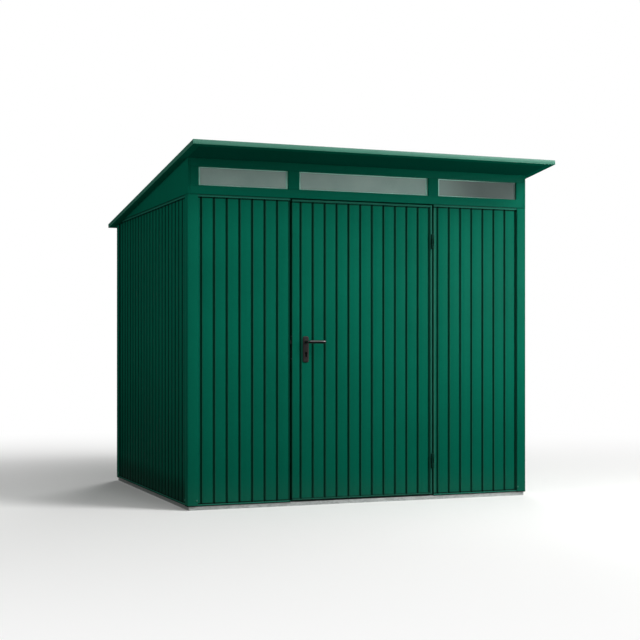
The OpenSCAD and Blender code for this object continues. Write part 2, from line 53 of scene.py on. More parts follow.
class Wire:
    """One output of a node, which can be used in sums."""

    def __init__(self, tree, socket=None):
        self.tree = tree
        self.socket = socket

    def node(self, kind, settings, sockets, output=0):
        made = self.tree.nodes.new(kind)
        for name, value in settings.items():
            setattr(made, name, value)
        for key, value in sockets.items():
            if isinstance(value, Wire):
                self.tree.links.new(value.socket, made.inputs[key])
            else:
                made.inputs[key].default_value = value
        return Wire(self.tree, made.outputs[output] if made.outputs else None)

    def sum(self, operation, first, second):
        return self.node("ShaderNodeMath", {"operation": operation}, {0: first, 1: second})

    def __add__(self, other):
        return self.sum("ADD", self, other)

    def __radd__(self, other):
        return self.sum("ADD", other, self)

    def __sub__(self, other):
        return self.sum("SUBTRACT", self, other)

    def __rsub__(self, other):
        return self.sum("SUBTRACT", other, self)

    def __mul__(self, other):
        return self.sum("MULTIPLY", self, other)

    def __rmul__(self, other):
        return self.sum("MULTIPLY", other, self)

    def __lt__(self, other):
        return self.sum("LESS_THAN", self, other)

    def __gt__(self, other):
        return self.sum("GREATER_THAN", self, other)


def new_finish(name):
    """An empty material, a wire to build it with, and the wire of places on the object."""
    made = bpy.data.materials.new(name)
    made.use_nodes = True
    made.node_tree.nodes.clear()
    wire = Wire(made.node_tree)
    return made, wire, wire.node("ShaderNodeTexCoord", {}, {}, "Object")


def noise(wire, where, grain, detail=2.0):
    """Cloudy noise with patches of about the size of a grain, in metres."""
    return wire.node("ShaderNodeTexNoise", {}, {"Vector": where, "Scale": 1 / grain, "Detail": detail})


def mixed(wire, share, first, second):
    return wire.node("ShaderNodeMix", {"data_type": "RGBA"}, {0: share, 6: first, 7: second}, 2)


def bump(wire, height, strength, distance):
    return wire.node("ShaderNodeBump", {}, {"Strength": strength, "Distance": distance, "Height": height})


def shine(wire, sockets):
    """The shader that shows, with what varies linked and the rest set on its own sockets."""
    shader = wire.node("ShaderNodeBsdfPrincipled", {}, sockets)
    wire.node("ShaderNodeOutputMaterial", {}, {"Surface": shader})


def dress(names, material):
    """Gives CAD nodes that keep their shape a finish."""
    for name in names:
        node = nodes[name]
        node.data.materials.clear()
        node.data.materials.append(material)


zinc, wire, where = new_finish("galvanised_steel")
crystals = wire.node("ShaderNodeTexVoronoi", {}, {"Vector": where, "Scale": 1 / spangle_size}, "Color")
crystal = wire.node("ShaderNodeSeparateColor", {}, {"Color": crystals}, "Red")
bloom = noise(wire, where, bloom_size, 4.0)
shine(wire, {
    "Base Color": mixed(wire, crystal * 0.6 + bloom * 0.4, zinc_dark, zinc_light),
    "Roughness": 0.34 + crystal * 0.14 + bloom * 0.12,
    "Normal": bump(wire, crystal, 0.08, 0.001),
    "Metallic": 0.85})
dress(["base_rail_front", "base_rail_back", "base_rail_left", "base_rail_right"], zinc)

# Anchor bolts: zinc-plated hex bolts with washers, through the front and back base rails.
# They stand in the four holes of the rails' lower flanges and hold the shed to the ground.
post_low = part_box("corner_post_front_left")[0]
post_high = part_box("corner_post_back_right")[1]
shed_corner = Matrix.Translation((post_low.x, post_low.y, 0))
wall_width = post_high.x - post_low.x
wall_depth = post_high.y - post_low.y
base_height = post_low.z


def add_object(name, data):
    """Puts a mesh, a lamp or the camera into the scene."""
    made = bpy.data.objects.new(name, data)
    bpy.context.scene.collection.objects.link(made)
    return made


def run_tree(tree, start, inputs, thickness=0):
    """Runs a tree on a starting mesh and gives the plain mesh that comes out."""
    carrier = add_object("carrier", start)
    modifier = carrier.modifiers.new("tree", "NODES")
    modifier.node_group = tree
    sockets = {item.name: item.identifier for item in tree.interface.items_tree if item.in_out == "INPUT"}
    for name, value in inputs.items():
        modifier[sockets[name]] = value
    if thickness:
        wall = carrier.modifiers.new("thickness", "SOLIDIFY")
        wall.thickness = thickness
        wall.offset = -1
    graph = bpy.context.evaluated_depsgraph_get()
    made = bpy.data.meshes.new_from_object(
        carrier.evaluated_get(graph), preserve_all_data_layers=True, depsgraph=graph)
    bpy.data.objects.remove(carrier)
    return made


def new_tree(name, inputs):
    """A Geometry Nodes tree with named inputs, and a wire from each of them."""
    tree = bpy.data.node_groups.new(name, "GeometryNodeTree")
    tree.is_modifier = True
    for label, kind in inputs.items():
        tree.interface.new_socket(label, in_out="INPUT", socket_type="NodeSocket" + kind)
    tree.interface.new_socket("Mesh", in_out="OUTPUT", socket_type="NodeSocketGeometry")
    outputs = tree.nodes.new("NodeGroupInput").outputs
    return tree, Wire(tree), {label: Wire(tree, outputs[label]) for label in inputs}


head_taper = 0.82
washer_sides = 20
screw_tree, wire, given = new_tree("Screw heads", {
    "Places": "Geometry", "Sides": "Int", "Head radius": "Float", "Head height": "Float",
    "Washer radius": "Float", "Washer height": "Float", "Metal": "Material"})
washer = wire.node("GeometryNodeMeshCylinder", {}, {
    "Vertices": washer_sides, "Radius": given["Washer radius"], "Depth": given["Washer height"] * 2})
head = wire.node("GeometryNodeMeshCone", {}, {
    "Vertices": given["Sides"], "Radius Top": given["Head radius"] * head_taper,
    "Radius Bottom": given["Head radius"], "Depth": given["Head height"]})
head_up = wire.node("ShaderNodeCombineXYZ", {}, {"Z": given["Washer height"]})
raised_head = wire.node("GeometryNodeTransform", {}, {"Geometry": head, "Translation": head_up})
screw = wire.node("GeometryNodeJoinGeometry", {}, {"Geometry": washer})
wire.tree.links.new(raised_head.socket, screw.socket.node.inputs["Geometry"])
facing = wire.node("GeometryNodeInputNamedAttribute", {"data_type": "FLOAT_VECTOR"}, {"Name": "facing"})
turn = wire.node("FunctionNodeAlignRotationToVector", {"axis": "Z"}, {"Vector": facing})
screws = wire.node("GeometryNodeInstanceOnPoints", {}, {
    "Points": given["Places"], "Instance": screw, "Rotation": turn})
real_screws = wire.node("GeometryNodeRealizeInstances", {}, {"Geometry": screws})
made_of = wire.node("GeometryNodeSetMaterial", {}, {"Geometry": real_screws, "Material": given["Metal"]})
wire.node("NodeGroupOutput", {}, {"Mesh": made_of})


def fixings(name, places, sides, head, washer, metal, body):
    """A row of screws, each at a point and with a direction that its head faces.

    The head and the washer each have a radius and a height.
    """
    start = bpy.data.meshes.new("places")
    start.from_pydata([point for point, _ in places], [], [])
    towards = start.attributes.new("facing", "FLOAT_VECTOR", "POINT")
    for item, (_, direction) in zip(towards.data, places):
        item.vector = direction
    piece = add_object(name, run_tree(screw_tree, start, {
        "Sides": sides, "Head radius": head[0], "Head height": head[1],
        "Washer radius": washer[0], "Washer height": washer[1], "Metal": metal}))
    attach(piece, body)


anchor_from_end = 0.300
anchor_from_face = 0.045
rail_sheet = 0.002
up = Vector((0, 0, 1))
anchor_places = []
for x in (anchor_from_end, wall_width - anchor_from_end):
    for y in (anchor_from_face, wall_depth - anchor_from_face):
        anchor_places.append((shed_corner @ Vector((x, y, rail_sheet)), up))
fixings("anchor_bolts", anchor_places, sides=6, head=(0.0085, 0.006), washer=(0.012, 0.002),
        metal=zinc, body="shed")

# Sill channels: U channels of painted sheet steel, one along the foot of each wall.
# The wall sheets stand in them, and they are screwed down to the base rails.
cloud_size = 0.35
speckle_size = 0.02
peel_size = 0.0022
splash_heights = (0.30, 0.05)
foot_heights = (0.32, 0.08)
ground_darkening_heights = (1.2, 0.1)
dust = (0.060, 0.105, 0.075, 1)


def axis(wire, place, letter):
    """One coordinate of a place."""
    return wire.node("ShaderNodeSeparateXYZ", {}, {"Vector": place}, letter)


def fade(wire, value, start, full, most=1.0):
    """Rises smoothly from 0 at the start to its most at full."""
    return wire.node("ShaderNodeMapRange", {"interpolation_type": "SMOOTHSTEP"}, {
        "Value": value, "From Min": start, "From Max": full, "To Max": most})


def green_finish(name, colour, roughness=0.44, gloss=0.02, joints=(), seams=(),
                 groove_grime=0.62, ground_darkening_share=0.18, foot_grime=0.0):
    """Satin powder coat with a cloudy tone, orange peel, dust near the ground, and a colour that grows
    darker towards the ground.

    Painted shade darkens the grooves, and the joints and seams between these heights and places
    across, each by its own share; the foot grows darker by a share of its own. Painted highlights
    make the sharp bends paler.
    """
    paint, wire, where = new_finish(name)
    tone = noise(wire, where, cloud_size, 4.0)
    fine = noise(wire, where, speckle_size, 3.0)
    peel = noise(wire, where, peel_size)
    across = axis(wire, where, "X")
    height = axis(wire, where, "Z")
    splash = fade(wire, height + fine * 0.12, *splash_heights)
    groove = wire.node("ShaderNodeAttribute", {"attribute_name": "groove"}, {}, "Fac")
    # Painted shade: the grooves, and bands along the joints and seams where shade falls.
    grime = groove * groove_grime
    bands = [(height > low) * (height < high) * share for low, high, share in joints]
    bands += [(across > low) * (across < high) * share for low, high, share in seams]
    # The foot grows darker towards the ground, by its own share.
    if foot_grime:
        bands.append(fade(wire, height, *foot_heights, foot_grime))
    for band in bands:
        grime = wire.sum("MAXIMUM", grime, band)
    # The whole colour grows darker towards the ground.
    ground_darkening = fade(wire, height, *ground_darkening_heights, ground_darkening_share)
    dark = tuple(0.80 * c for c in colour) + (1,)
    light = tuple(1.16 * c for c in colour) + (1,)
    # The colour that painted shade darkens the coat towards.
    deep = tuple(0.03 * c for c in colour) + (1,)
    # Painted highlight: where the sheet's bend mark is set, the coat is made paler, as on a bend catching the
    # light.
    painted_highlight = tuple(0.045 + 1.05 * c for c in colour) + (1,)
    bend = wire.node("ShaderNodeAttribute", {"attribute_name": "bend"}, {}, "Fac")
    even = mixed(wire, tone * 0.7 + fine * 0.3, dark, light)
    coat = mixed(wire, bend * (0.35 + fine * 0.35), even, painted_highlight)
    shaded = mixed(wire, wire.sum("MAXIMUM", grime, ground_darkening), coat, deep)
    shine(wire, {
        "Base Color": mixed(wire, splash * fine * 0.16, shaded, dust),
        "Roughness": roughness - 0.06 + tone * 0.06 + fine * 0.06 + splash * 0.10,
        "Normal": bump(wire, peel, 0.05, 0.0004),
        "Specular IOR Level": gloss})
    return paint


def bend_line(path, thickness, radius, steps):
    """Points along the outer face of a bent sheet and the directions to its inner face."""
    corners = [Vector(p) for p in path]
    line = []
    for i, corner in enumerate(corners):
        before = (corner - corners[i - 1]).normalized() if i else None
        after = (corners[i + 1] - corner).normalized() if i + 1 < len(corners) else None
        if before is None or after is None:
            along = after or before
            line.append((corner, Vector((-along.y, along.x))))
            continue
        turn = math.atan2(before.cross(after), before.dot(after))
        side = 1 if turn > 0 else -1
        bend = radius + (abs(thickness) if turn * thickness > 0 else 0)
        left = Vector((-before.y, before.x))
        centre = corner - before * bend * math.tan(abs(turn) / 2) + left * side * bend
        for k in range(steps + 1):
            facing = left.copy()
            facing.rotate(Matrix.Rotation(turn * k / steps, 2))
            line.append((centre - facing * side * bend, facing))
    return line


def add_fold(shape, path, thickness, start, stop, place, radius=0.0015, steps=3, grime=None):
    """Adds a sheet that is bent along path, as seen in section, and runs from start to stop."""
    # The groove mark of each corner holds painted shade for the paint to read.
    marks = shape.verts.layers.float.get("groove") or shape.verts.layers.float.new("groove")
    line = bend_line(path, thickness, radius, steps)
    closed = path[0] == path[-1]
    if closed:
        line.pop()
    rows = []
    for point, facing in line:
        row = []
        for face in (point, point + facing * thickness):
            for end in (start, stop):
                reach = end(face) if callable(end) else end
                corner = shape.verts.new(place @ Vector((face.x, face.y, reach)))
                corner[marks] = grime(face) if grime else 0
                row.append(corner)
        rows.append(row)
    if closed:
        rows.append(rows[0])
    for a, b in zip(rows, rows[1:]):
        shape.faces.new((a[0], a[1], b[1], b[0]))
        shape.faces.new((a[2], b[2], b[3], a[3]))
        shape.faces.new((a[0], b[0], b[2], a[2]))
        shape.faces.new((a[1], a[3], b[3], b[1]))
    if not closed:
        for a in (rows[0], rows[-1]):
            shape.faces.new((a[0], a[2], a[3], a[1]))
    return shape


sharp_bend = math.radians(38)


def add_piece(name, form, material, body, slot, *stands_for):
    """Makes a smooth-shaded piece of a shape or mesh, to ride on a body and stand for CAD nodes."""
    mesh = form
    if isinstance(form, bmesh.types.BMesh):
        bmesh.ops.recalc_face_normals(form, faces=form.faces)
        mesh = bpy.data.meshes.new(name)
        form.to_mesh(mesh)
        form.free()
    mesh.materials.clear()
    mesh.materials.append(material)
    mesh.shade_smooth()
    mesh.set_sharp_from_angle(angle=sharp_bend)
    piece = add_object(name, mesh)
    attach(piece, body)
    if stands_for:
        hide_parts(*stands_for)
    return piece


def painted(name, form, paint, body="shed"):
    """Makes a piece of green sheet steel that stands for the CAD node of its name."""
    return add_piece("painted_" + name, form, paint, body, "green_paint", name)


door_gap_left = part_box("front_wall_left")[1].x - post_low.x
door_gap_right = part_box("front_wall_right")[0].x - post_low.x
post_face = 0.066
lip_height = 0.012
lip_inset = 0.004
channel_back = 0.0218
channel_sheet = 0.001
channel_bend = 0.001
# A band of painted shade runs along the foot where the channels meet the base rails, and the sill's lighter
# green is a painted highlight on its lip.
foot_joint = (base_height - 0.001, base_height + 0.006, 0.95)
highlit_sill_green = (0.0210, 0.208, 0.140)
highlit_sill_paint = green_finish("green_sill_coat", highlit_sill_green, roughness=0.42, gloss=0.03, joints=(foot_joint,))

along_x = Matrix(((0, 0, 1, 0), (1, 0, 0, 0), (0, 1, 0, 0), (0, 0, 0, 1)))
quarter = math.radians(90)


def four_sides(corner, width, depth):
    """The front, right, back and left side's places, each at its left end as seen from outside."""
    return [corner @ (Matrix.Translation((x, y, 0)) @ Matrix.Rotation(turns * quarter, 4, "Z"))
            for x, y, turns in ((0, 0, 0), (width, 0, 1), (width, depth, 2), (0, depth, -1))]


front_side, right_side, back_side, left_side = four_sides(shed_corner, wall_width, wall_depth)
wall_runs = (
    (front_side, post_face, door_gap_left), (front_side, door_gap_right, wall_width - post_face),
    (left_side, post_face, wall_depth - post_face), (right_side, post_face, wall_depth - post_face),
    (back_side, post_face, wall_width - post_face))
sill_section = (
    (lip_inset, base_height + lip_height), (lip_inset, base_height),
    (channel_back, base_height), (channel_back, base_height + lip_height))
shape = bmesh.new()
for side, start, stop in wall_runs:
    add_fold(shape, sill_section, channel_sheet, start, stop, side @ along_x, channel_bend)
painted("sill_channels", shape, highlit_sill_paint)

# Corner posts: angles of painted sheet steel with both edges folded in onto the wall sheets.
# They stand on the base rails, and the back pair is cut off along the slope of the roof.
roof_pitch = math.radians(7.25)
roof_under_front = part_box("window_rail_top")[1].z
front_plane = post_low.y
front_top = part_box("corner_post_front_left")[1].z


def roof_under(y):
    """Height of the roof's underside at a place y in the part's frame."""
    return roof_under_front - (y - front_plane) * math.tan(roof_pitch)


def cut_under_roof(shape):
    """Cuts a closed shape off along the roof's underside and closes the cut."""
    parts = list(shape.verts) + list(shape.edges) + list(shape.faces)
    cut = bmesh.ops.bisect_plane(
        shape, geom=parts, dist=1e-6, clear_outer=True,
        plane_co=(0, front_plane, roof_under_front),
        plane_no=(0, math.sin(roof_pitch), math.cos(roof_pitch)))
    edges = [e for e in cut["geom_cut"] if isinstance(e, bmesh.types.BMEdge)]
    bmesh.ops.holes_fill(shape, edges=edges, sides=0)


shed_green = (0.0010, 0.114, 0.069)
# A band of painted shade runs along the joint at the top of the walls, under the window rail.
head_joint = (front_top - 0.003, front_top + 0.003, 0.45)
frame_paint = green_finish("green_frame_coat", shed_green, joints=(foot_joint, head_joint))
post_sheet = 0.0015
post_bend = 0.002
sheet_inset = 0.010
post_section = (
    (sheet_inset, post_face), (0, post_face), (0, 0), (post_face, 0), (post_face, sheet_inset))
post_corners = {
    "corner_post_front_left": front_side, "corner_post_front_right": right_side,
    "corner_post_back_left": left_side, "corner_post_back_right": back_side}
# The posts' edges folded in onto the sheets are darkened as painted shade.
fold_start = 0.0017
for name, side in post_corners.items():
    shape = add_fold(bmesh.new(), post_section, post_sheet, base_height, front_top, side, post_bend,
                     grime=lambda p: float(min(p) > fold_start))
    cut_under_roof(shape)
    painted(name, shape, frame_paint)

# Wall sheets: thin steel sheets, roll-formed with narrow upright grooves and coated green.
# They stand between the sill and head channels, with their ends behind the posts' folds.
sheet_tree, wire, given = new_tree("Grooved sheet", {
    "Places": "Geometry", "Points": "Int", "Start": "Float", "Start fold": "Float",
    "First groove": "Float", "Pitch": "Float", "Mouth": "Float", "Floor": "Float", "Depth": "Float",
    "End": "Float", "End fold": "Float", "Height": "Float", "Bend": "Float",
    "Shade start": "Float", "Shade full": "Float", "Lit slope": "Float", "Edge highlight": "Float",
    "Coat": "Material"})
line = wire.node("GeometryNodeMeshLine", {}, {"Count": given["Points"]})
index = wire.node("GeometryNodeInputIndex", {}, {})
order = index - 2
count = wire.sum("FLOOR", order * 0.25, 0)
corner = order - count * 4
deep = wire.sum("ABSOLUTE", corner - 1.5, 0) < 1
half = given["Mouth"] * 0.5 * (1 - deep) + given["Floor"] * 0.5 * deep
groove_x = given["First groove"] + count * given["Pitch"] + ((corner > 1.5) * 2 - 1) * half
at_start = index < 1.5
at_fold = index < 0.5
at_end = index > given["Points"] - 1.5
between = (1 - at_start) * (1 - at_end)
sheet_x = groove_x * between + given["Start"] * at_start + given["End"] * at_end
sheet_y = (given["Depth"] * deep * between + given["Start fold"] * at_fold + given["End fold"] * at_end)
spot = wire.node("ShaderNodeCombineXYZ", {}, {"X": sheet_x, "Y": sheet_y})
placed = wire.node("GeometryNodeSetPosition", {}, {"Geometry": line, "Position": spot})
welded = wire.node("GeometryNodeMergeByDistance", {}, {"Geometry": placed, "Distance": 0.00001})
section = wire.node("GeometryNodeMeshToCurve", {}, {"Mesh": welded})
rounded = wire.node("GeometryNodeFilletCurve", {"mode": "POLY"}, {
    "Curve": section, "Count": 3, "Radius": given["Bend"], "Limit Radius": True})
bent = wire.node("GeometryNodeCurveToMesh", {}, {"Curve": rounded})
spot = wire.node("GeometryNodeInputPosition", {}, {})
along = axis(wire, spot, "X")
inward = axis(wire, spot, "Y")
sunk = wire.sum("DIVIDE", inward, given["Depth"])
boards = wire.sum("DIVIDE", along - given["First groove"], given["Pitch"])
far_slope = boards > wire.sum("ROUND", boards, 0)
# Painted highlight: the bend mark picks out the far slope's shoulder and a sheet's start edge.
highlight_from = 0.008
highlight_to = 0.06
highlight_further = 0.10
edge_width = 0.002
# Painted shade: the groove mark grows with depth, more slowly on the far slope, which is lit.
shaded = wire.node("ShaderNodeMapRange", {}, {
    "Value": sunk, "From Min": given["Shade start"],
    "From Max": given["Shade full"] + far_slope * given["Lit slope"]})
highlit_bend = (sunk > highlight_from) * (sunk < highlight_to + far_slope * highlight_further) * far_slope
highlit_edge = (along < given["Start"] + edge_width) * (sunk < 0.5) * given["Edge highlight"]
grimed = wire.node("GeometryNodeStoreNamedAttribute", {"data_type": "FLOAT", "domain": "POINT"}, {
    "Geometry": bent, "Name": "groove", "Value": shaded * (sunk < 1.2)})
marked = wire.node("GeometryNodeStoreNamedAttribute", {"data_type": "FLOAT", "domain": "POINT"}, {
    "Geometry": grimed, "Name": "bend", "Value": highlit_bend + highlit_edge})
rise = wire.node("ShaderNodeCombineXYZ", {}, {"Z": given["Height"]})
sheet = wire.node("GeometryNodeExtrudeMesh", {"mode": "EDGES"}, {"Mesh": marked, "Offset": rise})
real_sheet = wire.node("GeometryNodeRealizeInstances", {}, {"Geometry": sheet})
coated = wire.node("GeometryNodeSetMaterial", {}, {"Geometry": real_sheet, "Material": given["Coat"]})
wire.node("NodeGroupOutput", {}, {"Mesh": coated})

board_pitch = 0.084
groove_mouth = 0.018
groove_floor = 0.012
groove_depth = 0.010
groove_bend = 0.0016
wall_sheet = 0.0008
wall_rule = (groove_mouth, groove_floor, groove_depth, groove_bend, wall_sheet)


def grooved_mesh(start, end, first, last, height, coat, pitch=board_pitch, rule=wall_rule,
                 half_groove=False, grime=(0.01, 0.09), clean_slope=0.5, edge_wear=0.0):
    """A grooved sheet: x along the wall, y inward from its flats, z up from its foot.

    Start and end are places along the wall and the depths of the folds there. The grooves lie
    about a pitch apart, spread evenly from the first to the last, which can be a half one. Painted
    shade starts and is full at these shares of the groove's depth, deeper down on the far slope,
    which is lit.
    """
    mouth, floor, depth, bend, thickness = rule
    intervals = round((last - first) / pitch)
    made = run_tree(sheet_tree, bpy.data.meshes.new("empty"), {
        "Points": 4 * intervals + (5 if half_groove else 7), "Start": start[0], "Start fold": start[1],
        "First groove": first, "Pitch": (last - first) / intervals, "Mouth": mouth, "Floor": floor,
        "Depth": depth, "End": end[0], "End fold": end[1], "Height": height, "Bend": bend,
        "Shade start": grime[0], "Shade full": grime[1], "Lit slope": clean_slope,
        "Edge highlight": edge_wear, "Coat": coat}, thickness)
    for name in ("groove", "bend"):
        marks = made.attributes[name].data
        for inner_mark in range(len(marks) // 2):
            marks[inner_mark].value = 0
    return made


# Painted shadow lies in a band over the sill lip and under the head lip.
over_sill = (base_height + lip_height - 0.001, base_height + lip_height + 0.008, 0.90)
under_head = (front_top - lip_height - 0.010, front_top - lip_height, 0.80)
wall_paint = green_finish("green_sheet_coat", shed_green, joints=(over_sill, under_head))
# The side and back walls take painted shade in their grooves at full strength, and grow darker towards the
# ground than the front.
side_paint = green_finish(
    "green_side_coat", shed_green, joints=(over_sill, under_head),
    groove_grime=1.0, ground_darkening_share=0.30, foot_grime=0.66)
sheet_foot = base_height + channel_sheet
sheet_height = front_top - channel_sheet - sheet_foot


def add_wall(name, side, paint, start, end, first, last, drop=0, **kind):
    """Adds a grooved sheet between the posts of one side, cut off at a drop under the roof."""
    mesh = grooved_mesh(start, end, first, last, sheet_height, paint, **kind)
    mesh.transform(side @ Matrix.Translation((0, sheet_inset, sheet_foot)))
    for vertex in mesh.vertices:
        vertex.co.z = min(vertex.co.z, roof_under(vertex.co.y) - drop)
    painted(name, mesh, paint)


sheet_lap = 0.020
behind_post = post_face - sheet_lap
beside_post = post_face + groove_mouth / 2
left_margin = 0.022
right_margin = 0.026
side_grime = (0.0, 0.02)
back_drop = channel_sheet / math.cos(roof_pitch)
add_wall("front_wall_left", front_side, wall_paint, (behind_post, 0), (door_gap_left, groove_depth),
         post_face + left_margin, door_gap_left - groove_floor / 2, half_groove=True)
# The right sheet's edge by the door gap gets a painted highlight.
add_wall("front_wall_right", front_side, wall_paint, (door_gap_right, groove_depth + wall_sheet),
         (wall_width - behind_post, 0), door_gap_right + right_margin + wall_sheet,
         wall_width - beside_post, edge_wear=1.0)
for name, side, length, drop in (
        ("left_wall", left_side, wall_depth, 0), ("right_wall", right_side, wall_depth, 0),
        ("back_wall", back_side, wall_width, back_drop)):
    add_wall(name, side, side_paint, (behind_post, 0), (length - behind_post, 0), beside_post,
             length - beside_post, drop, grime=side_grime, clean_slope=0.0)

# Head channels: caps of painted sheet steel over the top edges of the wall sheets.
# Under the gables and at the back they follow the slope of the roof.
# The lips are a lighter green as a painted highlight, with a band of painted shade along their top.
highlit_lip_green = (0.0160, 0.158, 0.106)
lip_joint = (front_top - 0.007, front_top + 0.001, 0.45)
highlit_lip_paint = green_finish("green_lip_coat", highlit_lip_green, roughness=0.42, gloss=0.03, joints=(lip_joint,))


def head_section(z_in, z_out):
    """The section of a cap from the heights of its top at the inner and the outer lip."""
    z_low = z_out - lip_height - channel_sheet
    return ((channel_back, z_low), (channel_back, z_in), (lip_inset, z_out), (lip_inset, z_low))


shape = bmesh.new()
for side, start, stop in wall_runs[:4]:
    add_fold(shape, head_section(front_top, front_top), channel_sheet, start, stop,
             side @ along_x, channel_bend)
cut_under_roof(shape)
back_plane = post_high.y
back_head = head_section(roof_under(back_plane - channel_back), roof_under(back_plane - lip_inset))
side, start, stop = wall_runs[4]
add_fold(shape, back_head, channel_sheet, start, stop, side @ along_x, channel_bend)
painted("head_channels", shape, highlit_lip_paint)

# Door posts: Z-shaped folds of painted sheet steel behind the edges of the front walls.
# Their inner flanges are the stops that the door leaf closes against, and their coat is darkened as painted
# shade in the gap.
leaf_low, leaf_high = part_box("door_top_rail")
leaf_left = leaf_low.x - post_low.x
leaf_right = leaf_high.x - post_low.x
leaf_back = leaf_high.y - post_low.y
stop_face = leaf_back + 0.006
stop_lap = 0.018
stop_fold = 0.014
jamb_width = 0.038
shaded_rebate_green = (0.0007, 0.048, 0.029)
shaded_rebate_paint = green_finish(
    "green_rebate_coat", shaded_rebate_green, roughness=0.50, gloss=0.01, joints=(foot_joint, head_joint))
for name, leaf_side, gap_side, outward in (
        ("door_post_left", leaf_left, door_gap_left, -1),
        ("door_post_right", leaf_right, door_gap_right, 1)):
    inner = leaf_side - outward * stop_lap
    section = ((inner, stop_face + stop_fold), (inner, stop_face), (gap_side, stop_face),
               (gap_side, channel_back), (gap_side + outward * jamb_width, channel_back))
    painted(name, add_fold(
        bmesh.new(), section, outward * post_sheet, base_height, front_top, front_side), shaded_rebate_paint)

# Window frame: square steel tubes with rounded edges over the front wall, painted green.
# Two rails run from gable to gable, and two stiles and two mullions stand between them.
frame_depth = 0.040
frame_round = 0.003
gable_fold = 0.017


def add_tube(shape, corners, start, stop, place):
    """Adds a square tube from the corners of its section, seamed in the middle of its first side."""
    first, second = Vector(corners[0]), Vector(corners[1])
    seam = (first + second) / 2
    path = (seam, second, *corners[2:], first, seam)
    return add_fold(shape, path, post_sheet, start, stop, place, frame_round - post_sheet, 4)


rail_start = gable_fold
rail_stop = wall_width - gable_fold
left_seam = post_low.x + gable_fold
right_seam = post_high.x - gable_fold
seam_half = 0.0018
# Painted shade darkens the seams where the gables' folds meet the window frame.
band_paint = green_finish("green_band_coat", shed_green, joints=(head_joint,), seams=(
    (left_seam - seam_half, left_seam + seam_half, 0.30),
    (right_seam - seam_half, right_seam + seam_half, 0.55)))
windows = {name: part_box(name) for name in ("window_left", "window_middle", "window_right")}
pane_low, pane_high = windows["window_middle"]
rail_back_top = roof_under(front_plane + frame_depth)
for name, foot, back_top, top in (
        ("window_rail_low", front_top, pane_low.z, pane_low.z),
        ("window_rail_top", pane_high.z, rail_back_top, roof_under_front)):
    corners = ((frame_depth, foot), (frame_depth, back_top), (0, top), (0, foot))
    painted(name, add_tube(bmesh.new(), corners, rail_start, rail_stop, front_side @ along_x), band_paint)
pane_ends = [(low.x - post_low.x, high.x - post_low.x) for low, high in windows.values()]
for name, spans in (
        ("mullion_left", [(pane_ends[0][1], pane_ends[1][0])]),
        ("mullion_right", [(pane_ends[1][1], pane_ends[2][0])]),
        ("end_stiles", [(rail_start, pane_ends[0][0]), (pane_ends[2][1], rail_stop)])):
    shape = bmesh.new()
    for x0, x1 in spans:
        add_tube(shape, ((x1, frame_depth), (x0, frame_depth), (x0, 0), (x1, 0)),
                 pane_low.z, pane_high.z, front_side)
    add_piece("painted_" + name, shape, band_paint, "shed", "green_paint", "window_" + name)

# Panes: three strips of clear plastic glazing, milky with age and darker towards the right,
# fixed between the tubes. A pale rubber seal runs round each on the outside, brightened as a
# painted highlight and darkened towards the right as painted shade. None opens.
pane_chamfer = 0.0006
seal_width = 0.005
seal_proud = 0.003
seal_side_share = 2.4


def add_rings(shape, rings, closed_ends=True):
    """Joins rings of equal length into a skin, and closes its two ends."""
    made = [[shape.verts.new(p) for p in ring] for ring in rings]
    for a, b in zip(made, made[1:]):
        for i in range(len(a)):
            j = (i + 1) % len(a)
            shape.faces.new((a[i], a[j], b[j], b[i]))
    if closed_ends:
        shape.faces.new(made[0])
        shape.faces.new(reversed(made[-1]))


def rectangle(x0, x1, z0, z1, inset, y, side_share=1):
    """Corners of an upright rectangle, drawn in by an inset that can be wider at its sides."""
    left, right = x0 + inset * side_share, x1 - inset * side_share
    foot, head = z0 + inset, z1 - inset
    return [Vector((x, y, z)) for x, z in ((left, foot), (right, foot), (right, head), (left, head))]


milk_dark = (0.32, 0.49, 0.44, 1)
milk_light = (0.49, 0.66, 0.60, 1)
glazing_dark = (0.055, 0.080, 0.074, 1)
darkening_across = (0.48, 0.98)
darkest_share = 0.80
haze_size = 0.25
speck_size = 0.008
glazing, wire, where = new_finish("milky_glazing")
haze = noise(wire, where, haze_size, 4.0)
specks = noise(wire, where, speck_size, 3.0)
across = axis(wire, where, "X")
darker_right = fade(wire, across + haze * 0.2, *darkening_across, darkest_share)
milk = mixed(wire, haze * 1.5 - 0.4 + specks * 0.3, milk_dark, milk_light)
shine(wire, {
    "Base Color": mixed(wire, darker_right, milk, glazing_dark),
    "Roughness": 0.06 + specks * 0.08,
    "Normal": bump(wire, haze, 0.02, 0.002),
    "Transmission Weight": 0.4, "IOR": 1.49})
